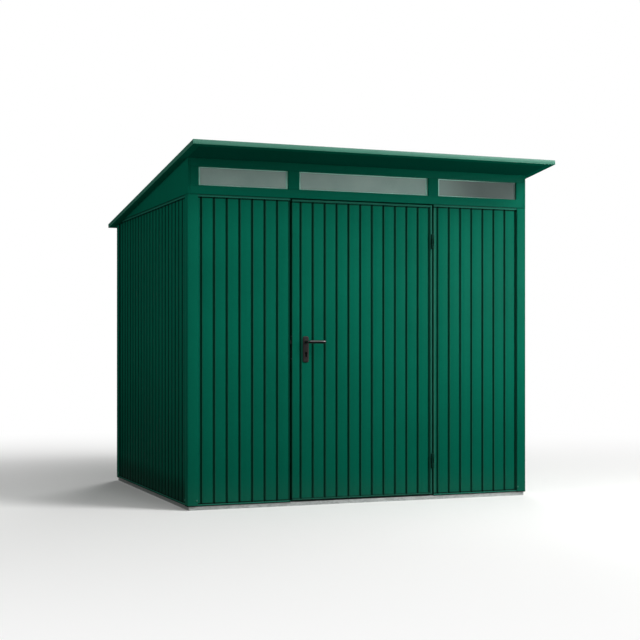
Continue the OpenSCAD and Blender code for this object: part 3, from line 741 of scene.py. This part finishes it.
# The seal's pale colour is brightened as a painted highlight, and it darkens towards the right end as painted
# shade.
seal_dull = (0.27, 0.60, 0.48, 1)
seal_bright = (0.37, 0.76, 0.64, 1)
seal_shaded = (0.07, 0.13, 0.11, 1)
seal_shading = (0.62, 1.10)
smear_size = 0.03
seal_rubber, wire, where = new_finish("pale_seal")
grime = noise(wire, where, smear_size, 4.0)
across = axis(wire, where, "X")
pale = mixed(wire, grime, seal_dull, seal_bright)
shine(wire, {
    "Base Color": mixed(wire, fade(wire, across, *seal_shading), pale, seal_shaded),
    "Roughness": 0.55 + grime * 0.2,
    "Normal": bump(wire, grime, 0.1, 0.0005)})
seal_section = (
    (0, 0), (0, seal_proud), (seal_width * 0.5, seal_proud), (seal_width * 0.9, seal_proud * 0.6),
    (seal_width, 0), (0, 0))
for name, (low, high) in windows.items():
    edges = (low.x, high.x, low.z, high.z)
    shape = bmesh.new()
    add_rings(shape, [
        rectangle(*edges, pane_chamfer, low.y), rectangle(*edges, 0, low.y + pane_chamfer),
        rectangle(*edges, 0, high.y - pane_chamfer), rectangle(*edges, pane_chamfer, high.y)])
    add_piece("glazed_" + name, shape, glazing, "shed", "window_glass", name)
    shape = bmesh.new()
    add_rings(shape, [
        rectangle(*edges, inset, low.y - proud, seal_side_share) for inset, proud in seal_section], False)
    bmesh.ops.remove_doubles(shape, verts=shape.verts, dist=1e-6)
    add_piece("seal_of_" + name, shape, seal_rubber, "shed", "window_glass")

# Gables: smooth steel sheets between the side walls and the slope of the roof, painted green.
# Each is folded round the end of the window frame and under itself along its foot.
gable_green = (0.0010, 0.110, 0.066)
gable_paint = green_finish("green_gable_coat", gable_green, roughness=0.50, gloss=0.01, joints=(head_joint,))
gable_sheet = 0.001
gable_end = (roof_under_front - front_top) / math.tan(roof_pitch)
mirrored = Matrix.Translation((wall_width, 0, 0)) @ Matrix.Scale(-1, 4, (1, 0, 0))
along_y = Matrix(((1, 0, 0, 0), (0, 0, 1, 0), (0, 1, 0, 0), (0, 0, 0, 1)))


def gable_top(point):
    return roof_under(front_plane + point.y)


for name, place in (("left_gable", shed_corner), ("right_gable", shed_corner @ mirrored)):
    shape = add_fold(
        bmesh.new(), ((gable_fold, 0), (0, 0), (0, gable_end)), -gable_sheet, front_top, gable_top, place)
    add_fold(shape, ((gable_sheet, front_top), (channel_back, front_top)), gable_sheet,
             frame_depth, gable_end, place @ along_y)
    painted(name, shape, gable_paint)

# Purlin: a C channel of painted sheet steel from gable to gable under the middle of the roof.
# The roof sheet is screwed down to it.
roof_low, roof_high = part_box("roof_trim_front")
roof_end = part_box("roof_trim_back")[1].y
trim_height = 0.030
trim_sheet = 0.001
deck = trim_height - trim_sheet
roof_width = roof_high.x - roof_low.x
roof_start = roof_low.y + trim_height * math.sin(roof_pitch)
roof_length = (roof_end - roof_start) / math.cos(roof_pitch)
roof_place = (Matrix.Translation((roof_low.x, roof_start, roof_high.z))
              @ Matrix.Rotation(-roof_pitch, 4, "X"))
over_side = post_low.x - roof_low.x
purlin_foot = -deck - 0.060
purlin_width = 0.040
near = (roof_length - purlin_width) / 2
far = near + purlin_width
purlin_end = over_side + gable_sheet
painted("roof_purlin", add_fold(
    bmesh.new(), ((far, -deck), (near, -deck), (near, purlin_foot), (far, purlin_foot)), post_sheet,
    purlin_end, roof_width - purlin_end, roof_place @ along_x, post_bend), frame_paint)

# Roof sheet: one steel sheet with wide ribs down the slope, painted green.
# It lies on the front wall, the purlin and the back wall, inside the edge trims.
roof_paint = green_finish("green_roof_coat", shed_green, roughness=0.46, gloss=0)
rib_pitch = 0.207
rib_foot = 0.080
rib_top = 0.036
rib_bend = 0.006
rib_rule = (rib_foot, rib_top, trim_sheet + wall_sheet - deck, rib_bend, wall_sheet)
ribs_each_side = math.floor((roof_width / 2 - over_side - post_face - rib_foot / 2) / rib_pitch)
first_rib = roof_width / 2 - ribs_each_side * rib_pitch
roof_mesh = grooved_mesh(
    (trim_sheet, 0), (roof_width - trim_sheet, 0), first_rib, first_rib + 2 * ribs_each_side * rib_pitch,
    roof_length - 2 * trim_sheet, roof_paint, rib_pitch, rib_rule)
down_slope = Matrix(((1, 0, 0, 0), (0, 0, 1, trim_sheet), (0, -1, 0, -deck + wall_sheet), (0, 0, 0, 1)))
roof_mesh.transform(roof_place @ down_slope)
for mark in ("groove", "bend"):
    roof_mesh.attributes.remove(roof_mesh.attributes[mark])
painted("roof_sheet", roof_mesh, roof_paint)

# Roof screws: plated hex screws with sealing washers in the valleys between the ribs.
# One row each over the front wall, the purlin and the back wall.
front_row = 0.330
back_row = 0.110
roof_facing = roof_place.to_3x3() @ up
roof_places = []
for y in (front_row, roof_length / 2, roof_length - back_row):
    for k in range(2 * ribs_each_side):
        x = first_rib + (k + 0.5) * rib_pitch
        roof_places.append((roof_place @ Vector((x, y, -deck + wall_sheet)), roof_facing))
fixings("roof_screws", roof_places, sides=6, head=(0.0045, 0.004), washer=(0.0075, 0.0016),
        metal=zinc, body="shed")

# Soffit: a flat steel sheet under the roof in front of the windows, painted a darker green as painted shade.
# It closes the overhang between the front trim and the top window rail.
shaded_soffit_green = (0.0008, 0.083, 0.053)
shaded_soffit_paint = green_finish("green_soffit_coat", shaded_soffit_green, roughness=0.46, gloss=0)
dress(["front_soffit"], shaded_soffit_paint)

# Edge trims: four C channels of painted sheet steel round the roof, mitred at the corners.
# They wrap the edges of the roof sheet. Their green is lighter as painted light, and the faces turned down
# take the darker roof paint as painted shade.
lit_trim_green = (0.037, 0.176, 0.119)
lit_trim_paint = green_finish("green_trim_coat", lit_trim_green, roughness=0.36, gloss=0.24)
trim_top = 0.040
back_flange = (roof_end - back_plane - trim_height * math.sin(roof_pitch)) / math.cos(roof_pitch)
roof_front, roof_right, roof_back, roof_left = four_sides(roof_place, roof_width, roof_length)
underside = -0.8
for name, length, depth, start_cut, stop_cut, place in (
        ("roof_trim_front", roof_width, over_side, over_side, over_side, roof_front),
        ("roof_trim_back", roof_width, back_flange, over_side, over_side, roof_back),
        ("roof_trim_left", roof_length, over_side, back_flange, over_side, roof_left),
        ("roof_trim_right", roof_length, over_side, over_side, back_flange, roof_right)):
    section = ((trim_top, 0), (0, 0), (0, -trim_height), (depth, -trim_height))
    shape = add_fold(
        bmesh.new(), section, trim_sheet, lambda p: p.x * start_cut / depth,
        lambda p: length - p.x * stop_cut / depth, place @ along_x)
    trim = painted(name, shape, lit_trim_paint)
    # Faces turned down get the darker roof paint as painted shade.
    trim.data.materials.append(roof_paint)
    for face in trim.data.polygons:
        if face.normal.dot(roof_facing) < underside:
            face.material_index = 1

# Post screws: pan-head screws, coated in the trims' lighter green as a painted highlight, at the foot of each
# face of the corner posts.
# They go through the sill channels into the base rails.
screw_across = post_face - 0.0070
screw_height = base_height + 0.036
post_places = []
for side in (front_side, right_side, left_side, back_side):
    for spot, outward in (((screw_across, 0), (0, -1, 0)), ((0, screw_across), (-1, 0, 0))):
        post_places.append((side @ Vector((*spot, screw_height)), side.to_3x3() @ Vector(outward)))
fixings("post_screws", post_places, sides=14, head=(0.0055, 0.0026), washer=(0.0060, 0.0006),
        metal=lit_trim_paint, body="shed")

# Hinges, frame halves: bent steel plates on the hinge-side wall edge, painted a very dark green.
# Each carries an upper and a lower knuckle and the pin that the door turns on.
pin_x = leaf_right - 0.0045
pin_y = -0.003
knuckle_radius = 0.007
knuckle_half = 0.0195
knuckle_gap = 0.0005
knuckle_edge = 0.0007
hinge_half = 0.0475
hinge_plate = 0.002
hinge_bend = 0.002
hinge_reach = 0.028
hinge_heights = (0.257, 1.713)
cap_radius = 0.0052
cap_height = 0.0025


def circle(count):
    """Points round a circle of radius 1."""
    angles = [2 * math.pi * k / count for k in range(count)]
    return [(math.cos(angle), math.sin(angle)) for angle in angles]


def add_lathe(shape, profile, place, sides=32):
    """Adds a turned shape from radii and heights along its axis, closed at both ends."""
    add_rings(shape, [
        [place @ Vector((radius * x, radius * y, height)) for x, y in circle(sides)]
        for radius, height in profile])


def barrel(radius, low, high, edge):
    return ((radius - edge, low), (radius, low + edge), (radius, high - edge), (radius - edge, high))


def add_block(shape, low, high, round_edge):
    """Adds a block with rounded edges."""
    made = bmesh.ops.create_cube(shape, size=1)["verts"]
    size = Vector(high) - Vector(low)
    middle = (Vector(high) + Vector(low)) / 2
    for vertex in made:
        vertex.co = Vector([c * d for c, d in zip(vertex.co, size)]) + middle
    edges = dict.fromkeys(edge for vertex in made for edge in vertex.link_edges)
    bmesh.ops.bevel(shape, geom=list(edges), offset=round_edge, segments=3, affect="EDGES", profile=0.5)


def mottled_finish(name, patch, detail, dark, light, roughness, relief, constants):
    """A finish whose tone, roughness and relief vary together in patches of about this size.

    Roughness is the least of it and how much is added, and relief a strength and a distance.
    """
    finish, wire, where = new_finish(name)
    mottle = noise(wire, where, patch, detail)
    shine(wire, {
        "Base Color": mixed(wire, mottle, (*dark, 1), (*light, 1)),
        "Roughness": roughness[0] + mottle * roughness[1],
        "Normal": bump(wire, mottle, *relief),
        **constants})
    return finish


hinge_paint = mottled_finish(
    "green_hinge_steel", patch=0.006, detail=5.0, dark=(0.0006, 0.016, 0.010),
    light=(0.0010, 0.030, 0.019), roughness=(0.42, 0.2), relief=(0.06, 0.0004),
    constants={"Specular IOR Level": 0.04})
inner_end = knuckle_half + knuckle_gap
arm = ((door_gap_right, hinge_reach), (door_gap_right, -hinge_plate), (pin_x, -hinge_plate))
web = ((door_gap_right, hinge_reach), (door_gap_right, hinge_plate))
shape = bmesh.new()
for z in hinge_heights:
    pin_place = front_side @ Matrix.Translation((pin_x, pin_y, z))
    for low, high in ((-hinge_half, -inner_end), (inner_end, hinge_half)):
        add_lathe(shape, barrel(knuckle_radius, low, high, knuckle_edge), pin_place)
        add_fold(shape, arm, -hinge_plate, z + low, z + high, front_side, hinge_bend)
    add_fold(shape, web, -hinge_plate, z - inner_end, z + inner_end, front_side)
    for end in (-1, 1):
        cap = ((cap_radius, end * hinge_half), (cap_radius * 0.9, end * (hinge_half + cap_height * 0.6)),
               (cap_radius * 0.45, end * (hinge_half + cap_height)))
        add_lathe(shape, cap, pin_place)
add_piece("hinge_frame_plates", shape, hinge_paint, "shed", "hinge_steel", "hinge_frame_halves")

# Door sheet: one grooved steel sheet like the walls, folded back along the lock edge.
# It is set in a frame of channels, whose lips show round it at the top, the hinge side and below.
leaf_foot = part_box("door_bottom_rail")[0].z
leaf_head = leaf_high.z
leaf_inner = leaf_back - post_sheet
leaf_lip = 0.013
# Painted shadow lies in a band under the top lip and over the bottom lip.
under_rail = (leaf_head - leaf_lip - 0.008, leaf_head - leaf_lip, 0.80)
over_rail = (leaf_foot + leaf_lip, leaf_foot + leaf_lip + 0.006, 0.70)
leaf_paint = green_finish("green_leaf_coat", shed_green, joints=(under_rail, over_rail))
lock_margin = 0.055
hinge_margin = 0.023
door_mesh = grooved_mesh(
    (leaf_left, leaf_inner - sheet_inset), (leaf_right - post_sheet, 0), leaf_left + lock_margin,
    leaf_right - hinge_margin, leaf_head - leaf_foot - 2 * post_sheet, leaf_paint)
door_mesh.transform(front_side @ Matrix.Translation((0, sheet_inset, leaf_foot + post_sheet)))
painted("door_sheet", door_mesh, leaf_paint, "door")

# Door frame: channels of painted sheet steel round the door sheet, mitred on the hinge side.
# A square tube behind the lock edge carries the lock.
leaf_face = 0.006
leaf_bar = 0.040
leaf_bend = 0.0012
# A band of painted shade runs along the foot of the bottom rail, and the lips' greyer green is a painted
# sheen.
leaf_edge = (leaf_foot - 0.001, leaf_foot + 0.008, 0.90)
sheen_leaf_green = (0.0110, 0.112, 0.075)
sheen_leaf_lip_paint = green_finish(
    "green_leaf_lip_coat", sheen_leaf_green, roughness=0.42, gloss=0.03, joints=(leaf_edge,))
for name, edge, inward in (("door_top_rail", leaf_head, -1), ("door_bottom_rail", leaf_foot, 1)):
    lip_z = edge + inward * leaf_lip
    section = ((sheet_inset, lip_z), (leaf_face, lip_z), (leaf_face, edge), (leaf_back, edge),
               (leaf_back, edge + inward * leaf_bar))
    painted(name, add_fold(
        bmesh.new(), section, inward * post_sheet, leaf_left, lambda p: leaf_right - abs(p.y - edge),
        front_side @ along_x, leaf_bend), sheen_leaf_lip_paint, "door")
lip_x = leaf_right - leaf_lip
section = ((lip_x, sheet_inset), (lip_x, leaf_face), (leaf_right, leaf_face), (leaf_right, leaf_back),
           (leaf_right - leaf_bar, leaf_back))
painted("door_hinge_stile", add_fold(
    bmesh.new(), section, post_sheet, lambda p: leaf_foot + leaf_right - p.x,
    lambda p: leaf_head - leaf_right + p.x, front_side, leaf_bend), sheen_leaf_lip_paint, "door")
stile_x = leaf_left + wall_sheet
stile_y = sheet_inset + wall_sheet
corners = ((stile_x + leaf_bar, leaf_inner), (stile_x, leaf_inner), (stile_x, stile_y),
           (stile_x + leaf_bar, stile_y))
painted("door_latch_stile", add_tube(
    bmesh.new(), corners, leaf_foot + post_sheet, leaf_head - post_sheet, front_side), frame_paint, "door")

# Hinges, door halves: the middle knuckles, each welded to a block on the leaf's hinge edge.
# Painted like the frame halves, and they turn on the pins.
block_edge = 0.001
shape = bmesh.new()
for z in hinge_heights:
    pin_place = front_side @ Matrix.Translation((pin_x, pin_y, z))
    add_lathe(shape, barrel(knuckle_radius, -knuckle_half, knuckle_half, knuckle_edge), pin_place)
    add_block(shape, front_side @ Vector((pin_x - knuckle_radius, pin_y, z - knuckle_half)),
              front_side @ Vector((leaf_right, leaf_face, z + knuckle_half)), block_edge)
add_piece("hinge_door_knuckles", shape, hinge_paint, "door", "hinge_steel", "hinge_door_halves")

# Lock case: a pressed steel box behind the door sheet, plated and riveted shut.
# The spindle and the lock cylinder go through it.
steel_dark = (0.30, 0.30, 0.29, 1)
steel_light = (0.52, 0.52, 0.50, 1)
lock_metal, wire, where = new_finish("plated_lock_steel")
brush = wire.node("ShaderNodeMapping", {}, {"Vector": where, "Scale": (40, 40, 900)})
scratch = wire.node("ShaderNodeTexNoise", {}, {"Vector": brush, "Scale": 1.0, "Detail": 3.0})
shine(wire, {
    "Base Color": mixed(wire, scratch, steel_dark, steel_light),
    "Roughness": 0.26 + scratch * 0.16,
    "Normal": bump(wire, scratch, 0.05, 0.0003),
    "Metallic": 0.9})
case_low, case_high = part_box("lock_case")
case_edge = 0.002
shape = bmesh.new()
add_block(shape, case_low, case_high, case_edge)
add_piece("plated_lock_case", shape, lock_metal, "door", "lock_steel", "lock_case")

# Handle plates: long rounded plates of black plastic over steel, one on each side of the leaf.
# Two screws through the leaf hold them together, with their heads on the inside.
black_deep = (0.014, 0.012, 0.012, 1)
black_worn = (0.030, 0.026, 0.026, 1)
grain_size = 0.0006
wear_size = 0.02
black_coat, wire, where = new_finish("satin_black")
grain = noise(wire, where, grain_size)
wear = noise(wire, where, wear_size, 5.0)
shine(wire, {
    "Base Color": mixed(wire, wear, black_deep, black_worn),
    "Roughness": 0.34 + wear * 0.18,
    "Normal": bump(wire, grain, 0.10, 0.0002),
    "Specular IOR Level": 0.16})


def rounded_outline(x, y, z0, z1, half_width, corner, inset, steps=6):
    """A ring in the shape of an upright rounded plate, drawn in by an inset."""
    ring = []
    reach = half_width - corner
    radius = corner - inset
    foot, head = z0 + corner, z1 - corner
    for quadrant, (sx, zc) in enumerate(((1, head), (-1, head), (-1, foot), (1, foot))):
        for k in range(steps + 1):
            angle = quarter * (quadrant + k / steps)
            ring.append(Vector((x + sx * reach + radius * math.cos(angle), y, zc + radius * math.sin(angle))))
    return ring


plate_low, plate_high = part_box("handle_plates")
lever_x = (plate_low.x + plate_high.x) / 2
lever_z = 1.046
plate_half = (plate_high.x - plate_low.x) / 2
plate_thick = 0.009
plate_corner = 0.012
plate_edge = 0.004
plate_crown = 0.0004
crown_inset = 0.009
collar_profile = ((0.0150, -0.002), (0.0150, 0.0012), (0.0138, 0.0024), (0.0105, 0.0026))


def plate_ring(y, inset):
    return rounded_outline(lever_x, y, plate_low.z, plate_high.z, plate_half, plate_corner, inset)


outer_face = plate_low.y
inner_face = plate_high.y
shape = bmesh.new()
for face, inward in ((outer_face, 1), (inner_face, -1)):
    rings = [plate_ring(face + inward * plate_thick, 0)]
    for k in range(5):
        angle = quarter * k / 4
        rings.append(plate_ring(
            face + inward * (plate_edge * (1 - math.sin(angle))), plate_edge * (1 - math.cos(angle))))
    rings.append(plate_ring(face - inward * plate_crown, crown_inset))
    add_rings(shape, rings)
    collar = Matrix.Translation((lever_x, face, lever_z)) @ Matrix.Rotation(inward * quarter, 4, "X")
    add_lathe(shape, collar_profile, collar, 40)
add_piece("black_handle_plates", shape, black_coat, "door", "black_handle", "handle_plates")

# Lock front: a strip of dark plated steel on the leaf's lock edge, screwed to the lock case.
# The sprung latch stands out of it beside the lever, and the drawn-back bolt beside the cylinder.
lock_front = mottled_finish(
    "dark_lock_front", patch=0.008, detail=4.0, dark=(0.045, 0.046, 0.044), light=(0.095, 0.096, 0.092),
    roughness=(0.34, 0.2), relief=(0.05, 0.0003), constants={"Metallic": 0.8})
cylinder_low, cylinder_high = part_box("lock_cylinder")
bolt_z = (cylinder_low.z + cylinder_high.z) / 2
front_middle = front_plane + 0.0285
front_foot = bolt_z - 0.045
front_head = lever_z + 0.045
front_half = 0.009
front_corner = 0.008
front_proud = 0.001
front_edge = 0.0004
latch_out = 0.0085
latch_flat = 0.003
latch_root = 0.002
latch_near = front_middle - 0.0055
latch_far = front_middle + 0.0055
latch_half = 0.011
bolt_out = 0.0025
bolt_edge = 0.0006
edge_x = leaf_low.x
shape = bmesh.new()
add_rings(shape, [
    [Vector((p.y, p.x, p.z)) for p in rounded_outline(
        front_middle, edge_x - proud, front_foot, front_head, front_half, front_corner, inset)]
    for proud, inset in ((0, 0), (front_proud * 0.6, 0), (front_proud, front_edge))])
latch_section = (
    (edge_x, latch_near), (edge_x - latch_out, latch_near), (edge_x - latch_out, latch_near + latch_flat),
    (edge_x - latch_root, latch_far), (edge_x, latch_far))
add_rings(shape, [[Vector((*p, z)) for p in latch_section]
                  for z in (lever_z - latch_half, lever_z + latch_half)])
add_block(shape, (edge_x - bolt_out, latch_near, bolt_z - latch_half),
          (edge_x, latch_far, bolt_z + latch_half), bolt_edge)
add_piece("lock_front_and_latch", shape, lock_front, "door", "lock_steel")
screw_inset = 0.010
fixings("lock_front_screws", [
    (Vector((edge_x - front_proud, front_middle, z)), Vector((-1, 0, 0)))
    for z in (front_foot + screw_inset, front_head - screw_inset)],
    sides=16, head=(0.0036, 0.0008), washer=(0.0038, 0.0002),
    metal=lock_metal, body="door")

# Strike: a strip of the same plated steel on the door post, across the gap from the lock front.
# It has an opening for the latch and one for the bolt.
strike_x = post_low.x + door_gap_left
strike_y = [front_plane + y for y in (0.0245, 0.0265, 0.0395, 0.0425)]
opening_half = 0.014
strike_z = (front_foot, bolt_z - opening_half, bolt_z + opening_half,
            lever_z - opening_half, lever_z + opening_half, front_head)
shape = bmesh.new()
corners = [[shape.verts.new((strike_x, y, z)) for z in strike_z] for y in strike_y]
for i in range(3):
    for j in range(5):
        if i != 1 or j % 2 == 0:
            shape.faces.new((corners[i][j], corners[i + 1][j], corners[i + 1][j + 1], corners[i][j + 1]))
shape.normal_update()
bmesh.ops.solidify(shape, geom=list(shape.faces), thickness=-front_proud)
add_piece("strike_plate", shape, lock_front, "shed", "lock_steel")

# Lock cylinder: a profile cylinder of plated steel through both plates, with a round plug.
# Each plug has an upright key slot.
bore_radius = 0.0085
stem_half = 0.005
stem_drop = 0.0195
dark_plate = mottled_finish(
    "dark_plated_steel", patch=0.004, detail=4.0, dark=(0.0008, 0.0008, 0.0008), light=(0.002, 0.002, 0.002),
    roughness=(0.36, 0.2), relief=(0.05, 0.0003), constants={"Specular IOR Level": 0.02})


def profile_outline(y):
    """A ring in the shape of the cylinder's profile: a circle over a narrow stem with a round foot."""
    ring = []
    meet = math.asin(stem_half / bore_radius)
    foot_z = bolt_z - stem_drop
    for k in range(25):
        angle = -quarter + meet + (4 * quarter - 2 * meet) * k / 24
        ring.append(Vector((
            lever_x + bore_radius * math.cos(angle), y, bolt_z + bore_radius * math.sin(angle))))
    for k in range(9):
        angle = 2 * quarter + 2 * quarter * k / 8
        ring.append(Vector((lever_x + stem_half * math.cos(angle), y, foot_z + stem_half * math.sin(angle))))
    return ring


slot_square = 0.6


def slot_ring(half_x, half_z, y):
    """A ring that goes from a circle to an upright slot as its half width shrinks."""
    return [Vector((lever_x + half_x * x, y, bolt_z + half_z * math.copysign(abs(z) ** slot_square, z)))
            for x, z in circle(32)]


plug_radius = 0.0062
plug_root = 0.001
plug_proud = 0.0004
slot_mouth = (0.0013, 0.0042)
slot_floor = (0.0012, 0.0040)
slot_depth = 0.0008
shape = bmesh.new()
add_rings(shape, [profile_outline(cylinder_low.y), profile_outline(cylinder_high.y)])
for face, inward in ((cylinder_low.y, 1), (cylinder_high.y, -1)):
    add_rings(shape, [
        slot_ring(plug_radius, plug_radius, face + inward * plug_root),
        slot_ring(plug_radius, plug_radius, face - inward * plug_proud),
        slot_ring(*slot_mouth, face - inward * plug_proud),
        slot_ring(*slot_floor, face + inward * slot_depth)])
add_piece("plated_lock_cylinder", shape, dark_plate, "door", "lock_steel", "lock_cylinder")

# Lever handle: a cast lever on each side, coated black, both on one square spindle.
# The neck comes straight out of the plate and bends into a slightly flattened grip.
gloss_black = mottled_finish(
    "gloss_black", patch=0.012, detail=5.0, dark=(0.003, 0.003, 0.003), light=(0.009, 0.009, 0.009),
    roughness=(0.12, 0.10), relief=(0.02, 0.0004),
    constants={"Specular IOR Level": 0.6, "Coat Weight": 0.35, "Coat Roughness": 0.10})


def add_sweep(shape, stations):
    """Adds a bar through stations of a middle, a direction, a depth radius and a height radius."""
    rings = []
    for middle, along, depth, height in stations:
        across = along.cross(up)
        rings.append([middle + across * depth * x + up * height * z for x, z in circle(24)])
    add_rings(shape, rings)


handle_low, handle_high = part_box("door_handle")
grip_inset = 0.0105
neck_root = 0.0088
neck_waist = 0.0078
root_out = 0.004
waist_out = 0.012
neck_radius = 0.0080
neck_bend = 0.016
grip_depth = 0.0076
grip_height = 0.0106
tip_height = 0.0102
tip_length = 0.008
tip_turn = quarter / 5.2
into_plate = 0.003
bend_x = lever_x + neck_bend
grip_end = handle_high.x - tip_length
right = Vector((1, 0, 0))
shape = bmesh.new()
for plate, grip_y, outward in (
        (outer_face, handle_low.y + grip_inset, -1), (inner_face, handle_high.y - grip_inset, 1)):
    out = Vector((0, outward, 0))
    bend_y = grip_y - outward * neck_bend
    stations = []
    for y, radius in ((plate - outward * into_plate, neck_root), (plate + outward * root_out, neck_root),
                      (plate + outward * waist_out, neck_waist), (bend_y, neck_radius)):
        stations.append((Vector((lever_x, y, lever_z)), out, radius, radius))
    bend_middle = Vector((bend_x, bend_y, lever_z))
    for k in range(1, 7):
        angle = quarter * k / 6
        spot = bend_middle + out * neck_bend * math.sin(angle) - right * neck_bend * math.cos(angle)
        along = out * math.cos(angle) + right * math.sin(angle)
        stations.append((spot, along, neck_radius + (grip_depth - neck_radius) * k / 6,
                         neck_radius + (grip_height - neck_radius) * k / 6))
    for share in (0.15, 0.4, 0.7, 1.0):
        spot = Vector((bend_x + share * (grip_end - bend_x), grip_y, lever_z))
        stations.append((spot, right, grip_depth, grip_height + (tip_height - grip_height) * share))
    for k in range(1, 6):
        spot = Vector((grip_end + tip_length * math.sin(tip_turn * k), grip_y, lever_z))
        round_off = math.cos(tip_turn * k)
        stations.append((spot, right, grip_depth * round_off, tip_height * round_off))
    add_sweep(shape, stations)
spindle_half = 0.004
spindle_edge = 0.0005
add_block(shape, (lever_x - spindle_half, outer_face - into_plate, lever_z - spindle_half),
          (lever_x + spindle_half, inner_face + into_plate, lever_z + spindle_half), spindle_edge)
add_piece("black_lever_handle", shape, gloss_black, "handle", "black_handle", "door_handle")

# Handle screws: two plated pan heads on the inside plate, above the lever and under the cylinder.
# They run through the leaf into the outside plate.
screw_seat = inner_face + 0.0002
upper_screw = plate_high.z - 0.010
lower_screw = plate_low.z + 0.014
fixings("handle_screws", [
    (Vector((lever_x, screw_seat, z)), Vector((0, 1, 0)))
    for z in (upper_screw, lower_screw)],
    sides=16, head=(0.0040, 0.0018), washer=(0.0044, 0.0005),
    metal=lock_metal, body="door")

# Studio: a wide pale floor that fades into a white background, and soft lamps round the object.
# The main lamp stands to the right in front, so the left side is in shade.
floor_half = 40
floor_mesh = bpy.data.meshes.new("floor")
floor_mesh.from_pydata(
    [(-floor_half, -floor_half, 0), (floor_half, -floor_half, 0),
     (floor_half, floor_half, 0), (-floor_half, floor_half, 0)], [], [(0, 1, 2, 3)])
floor = add_object("floor", floor_mesh)


def seen_white(wire):
    """1 for rays from the camera, in mirrors and through glass, and 0 for light on the object."""
    path = wire.node("ShaderNodeLightPath", {}, {})
    rays = [Wire(wire.tree, path.socket.node.outputs[name])
            for name in ("Is Camera Ray", "Is Glossy Ray", "Is Transmission Ray")]
    return wire.sum("MINIMUM", rays[0] + rays[1] + rays[2], 1.0)


floor_shade = (0.28, 0.28, 0.27, 1)
floor_pale = (0.88, 0.88, 0.87, 1)
whitening = (1.8, 7.0)
floor_coat, wire, where = new_finish("pale_floor")
distance = wire.node("ShaderNodeVectorMath", {"operation": "LENGTH"}, {0: where}, "Value")
whiter = fade(wire, distance, *whitening)
seen = wire.node("ShaderNodeLightPath", {}, {}, "Is Camera Ray")
pale = wire.node("ShaderNodeBsdfDiffuse", {}, {"Color": mixed(wire, seen, floor_shade, floor_pale)})
white = wire.node("ShaderNodeEmission", {}, {"Color": (1, 1, 1, 1), "Strength": 1.0})
blend = wire.node("ShaderNodeMixShader", {}, {0: whiter * seen_white(wire), 1: pale, 2: white})
wire.node("ShaderNodeOutputMaterial", {}, {"Surface": blend})
floor_mesh.materials.append(floor_coat)

ambient = 0.13
sky = bpy.data.worlds.new("studio")
sky.use_nodes = True
sky.node_tree.nodes.clear()
bpy.context.scene.world = sky
wire = Wire(sky.node_tree)
backdrop = wire.node("ShaderNodeBackground", {}, {
    "Color": (1, 1, 1, 1), "Strength": ambient + (1 - ambient) * seen_white(wire)})
wire.node("ShaderNodeOutputWorld", {}, {"Surface": backdrop})

# Dark cards stand to the left and in front, and a dark cloth lies there, as in a studio.
# They are out of the picture, and only gloss shows them.
card_foot = 0.004
left_card_high = 9.0
front_card_high = 3.55
card_spots = [(-1.4, 9, left_card_high), (-10, 9, left_card_high), (-10, -14, left_card_high),
              (-10, -14, front_card_high), (6, -14, front_card_high)]
card_mesh = bpy.data.meshes.new("dark_cards")
card_mesh.from_pydata(
    [(x, y, z) for x, y, high in card_spots for z in (card_foot, high)]
    + [(-1.4, -1.3, card_foot), (9, -1.3, card_foot), (9, -14, card_foot)], [],
    [(0, 1, 3, 2), (2, 3, 5, 4), (6, 7, 9, 8), (0, 2, 4, 12, 11, 10)])
cards = add_object("dark_cards", card_mesh)
for ray in ("camera", "diffuse", "transmission", "volume_scatter", "shadow"):
    setattr(cards, "visible_" + ray, False)
card_black = (0.008, 0.012, 0.010, 1)
card_coat, wire, _ = new_finish("dark_card")
black = wire.node("ShaderNodeBsdfDiffuse", {}, {"Color": card_black})
wire.node("ShaderNodeOutputMaterial", {}, {"Surface": black})
card_mesh.materials.append(card_coat)

# Lamps: round soft lamps, each with a place, a point that it is aimed at, a size and a power.
# The small ones stand near the right end of the band and the left gable.
lamps = {
    "main_lamp": ((7.0, -7.9, 8.6), (0.0, -0.9, 1.15), 5.0, 1110),
    "top_lamp": ((1.0, -5.2, 8.0), (0.2, -0.9, 1.2), 5.0, 150),
    "front_lamp": ((-0.8, -9.0, 5.6), (0, -0.9, 1.1), 3.0, 110),
    "right_lamp": ((2.5, -3.2, 1.65), (1.0, -0.9, 1.6), 0.6, 37),
    "left_lamp": ((-8.0, -2.5, 3.0), (-1.2, 0, 1.6), 3.0, 105),
    "gable_lamp": ((-3.6, -0.7, 2.0), (-1.2, -0.1, 1.8), 0.8, 8),
    "back_lamp": ((3.5, 8.0, 5.0), (0, 0.5, 1.2), 4.0, 420)}
for name, (place, aim, size, power) in lamps.items():
    lamp = bpy.data.lights.new(name, "AREA")
    lamp.shape = "DISK"
    lamp.size = size
    lamp.energy = power
    stand = add_object(name, lamp)
    stand.location = place
    stand.rotation_euler = (Vector(aim) - Vector(place)).to_track_quat("-Z", "Y").to_euler()

# Camera: level at about waist height, in front and to the left, as the picture was taken.
# The frame is square, and a small shift keeps the uprights upright.
camera = bpy.data.cameras.new("camera")
camera.sensor_width = 36
camera.lens = 73.53
camera.shift_y = 0.0407
stand = add_object("camera", camera)
stand.location = (-3.3668, -8.7031, 1.0197)
stand.rotation_euler = (quarter, 0, math.radians(-21.32))
bpy.context.scene.camera = stand
bpy.context.scene.view_settings.view_transform = "Standard"
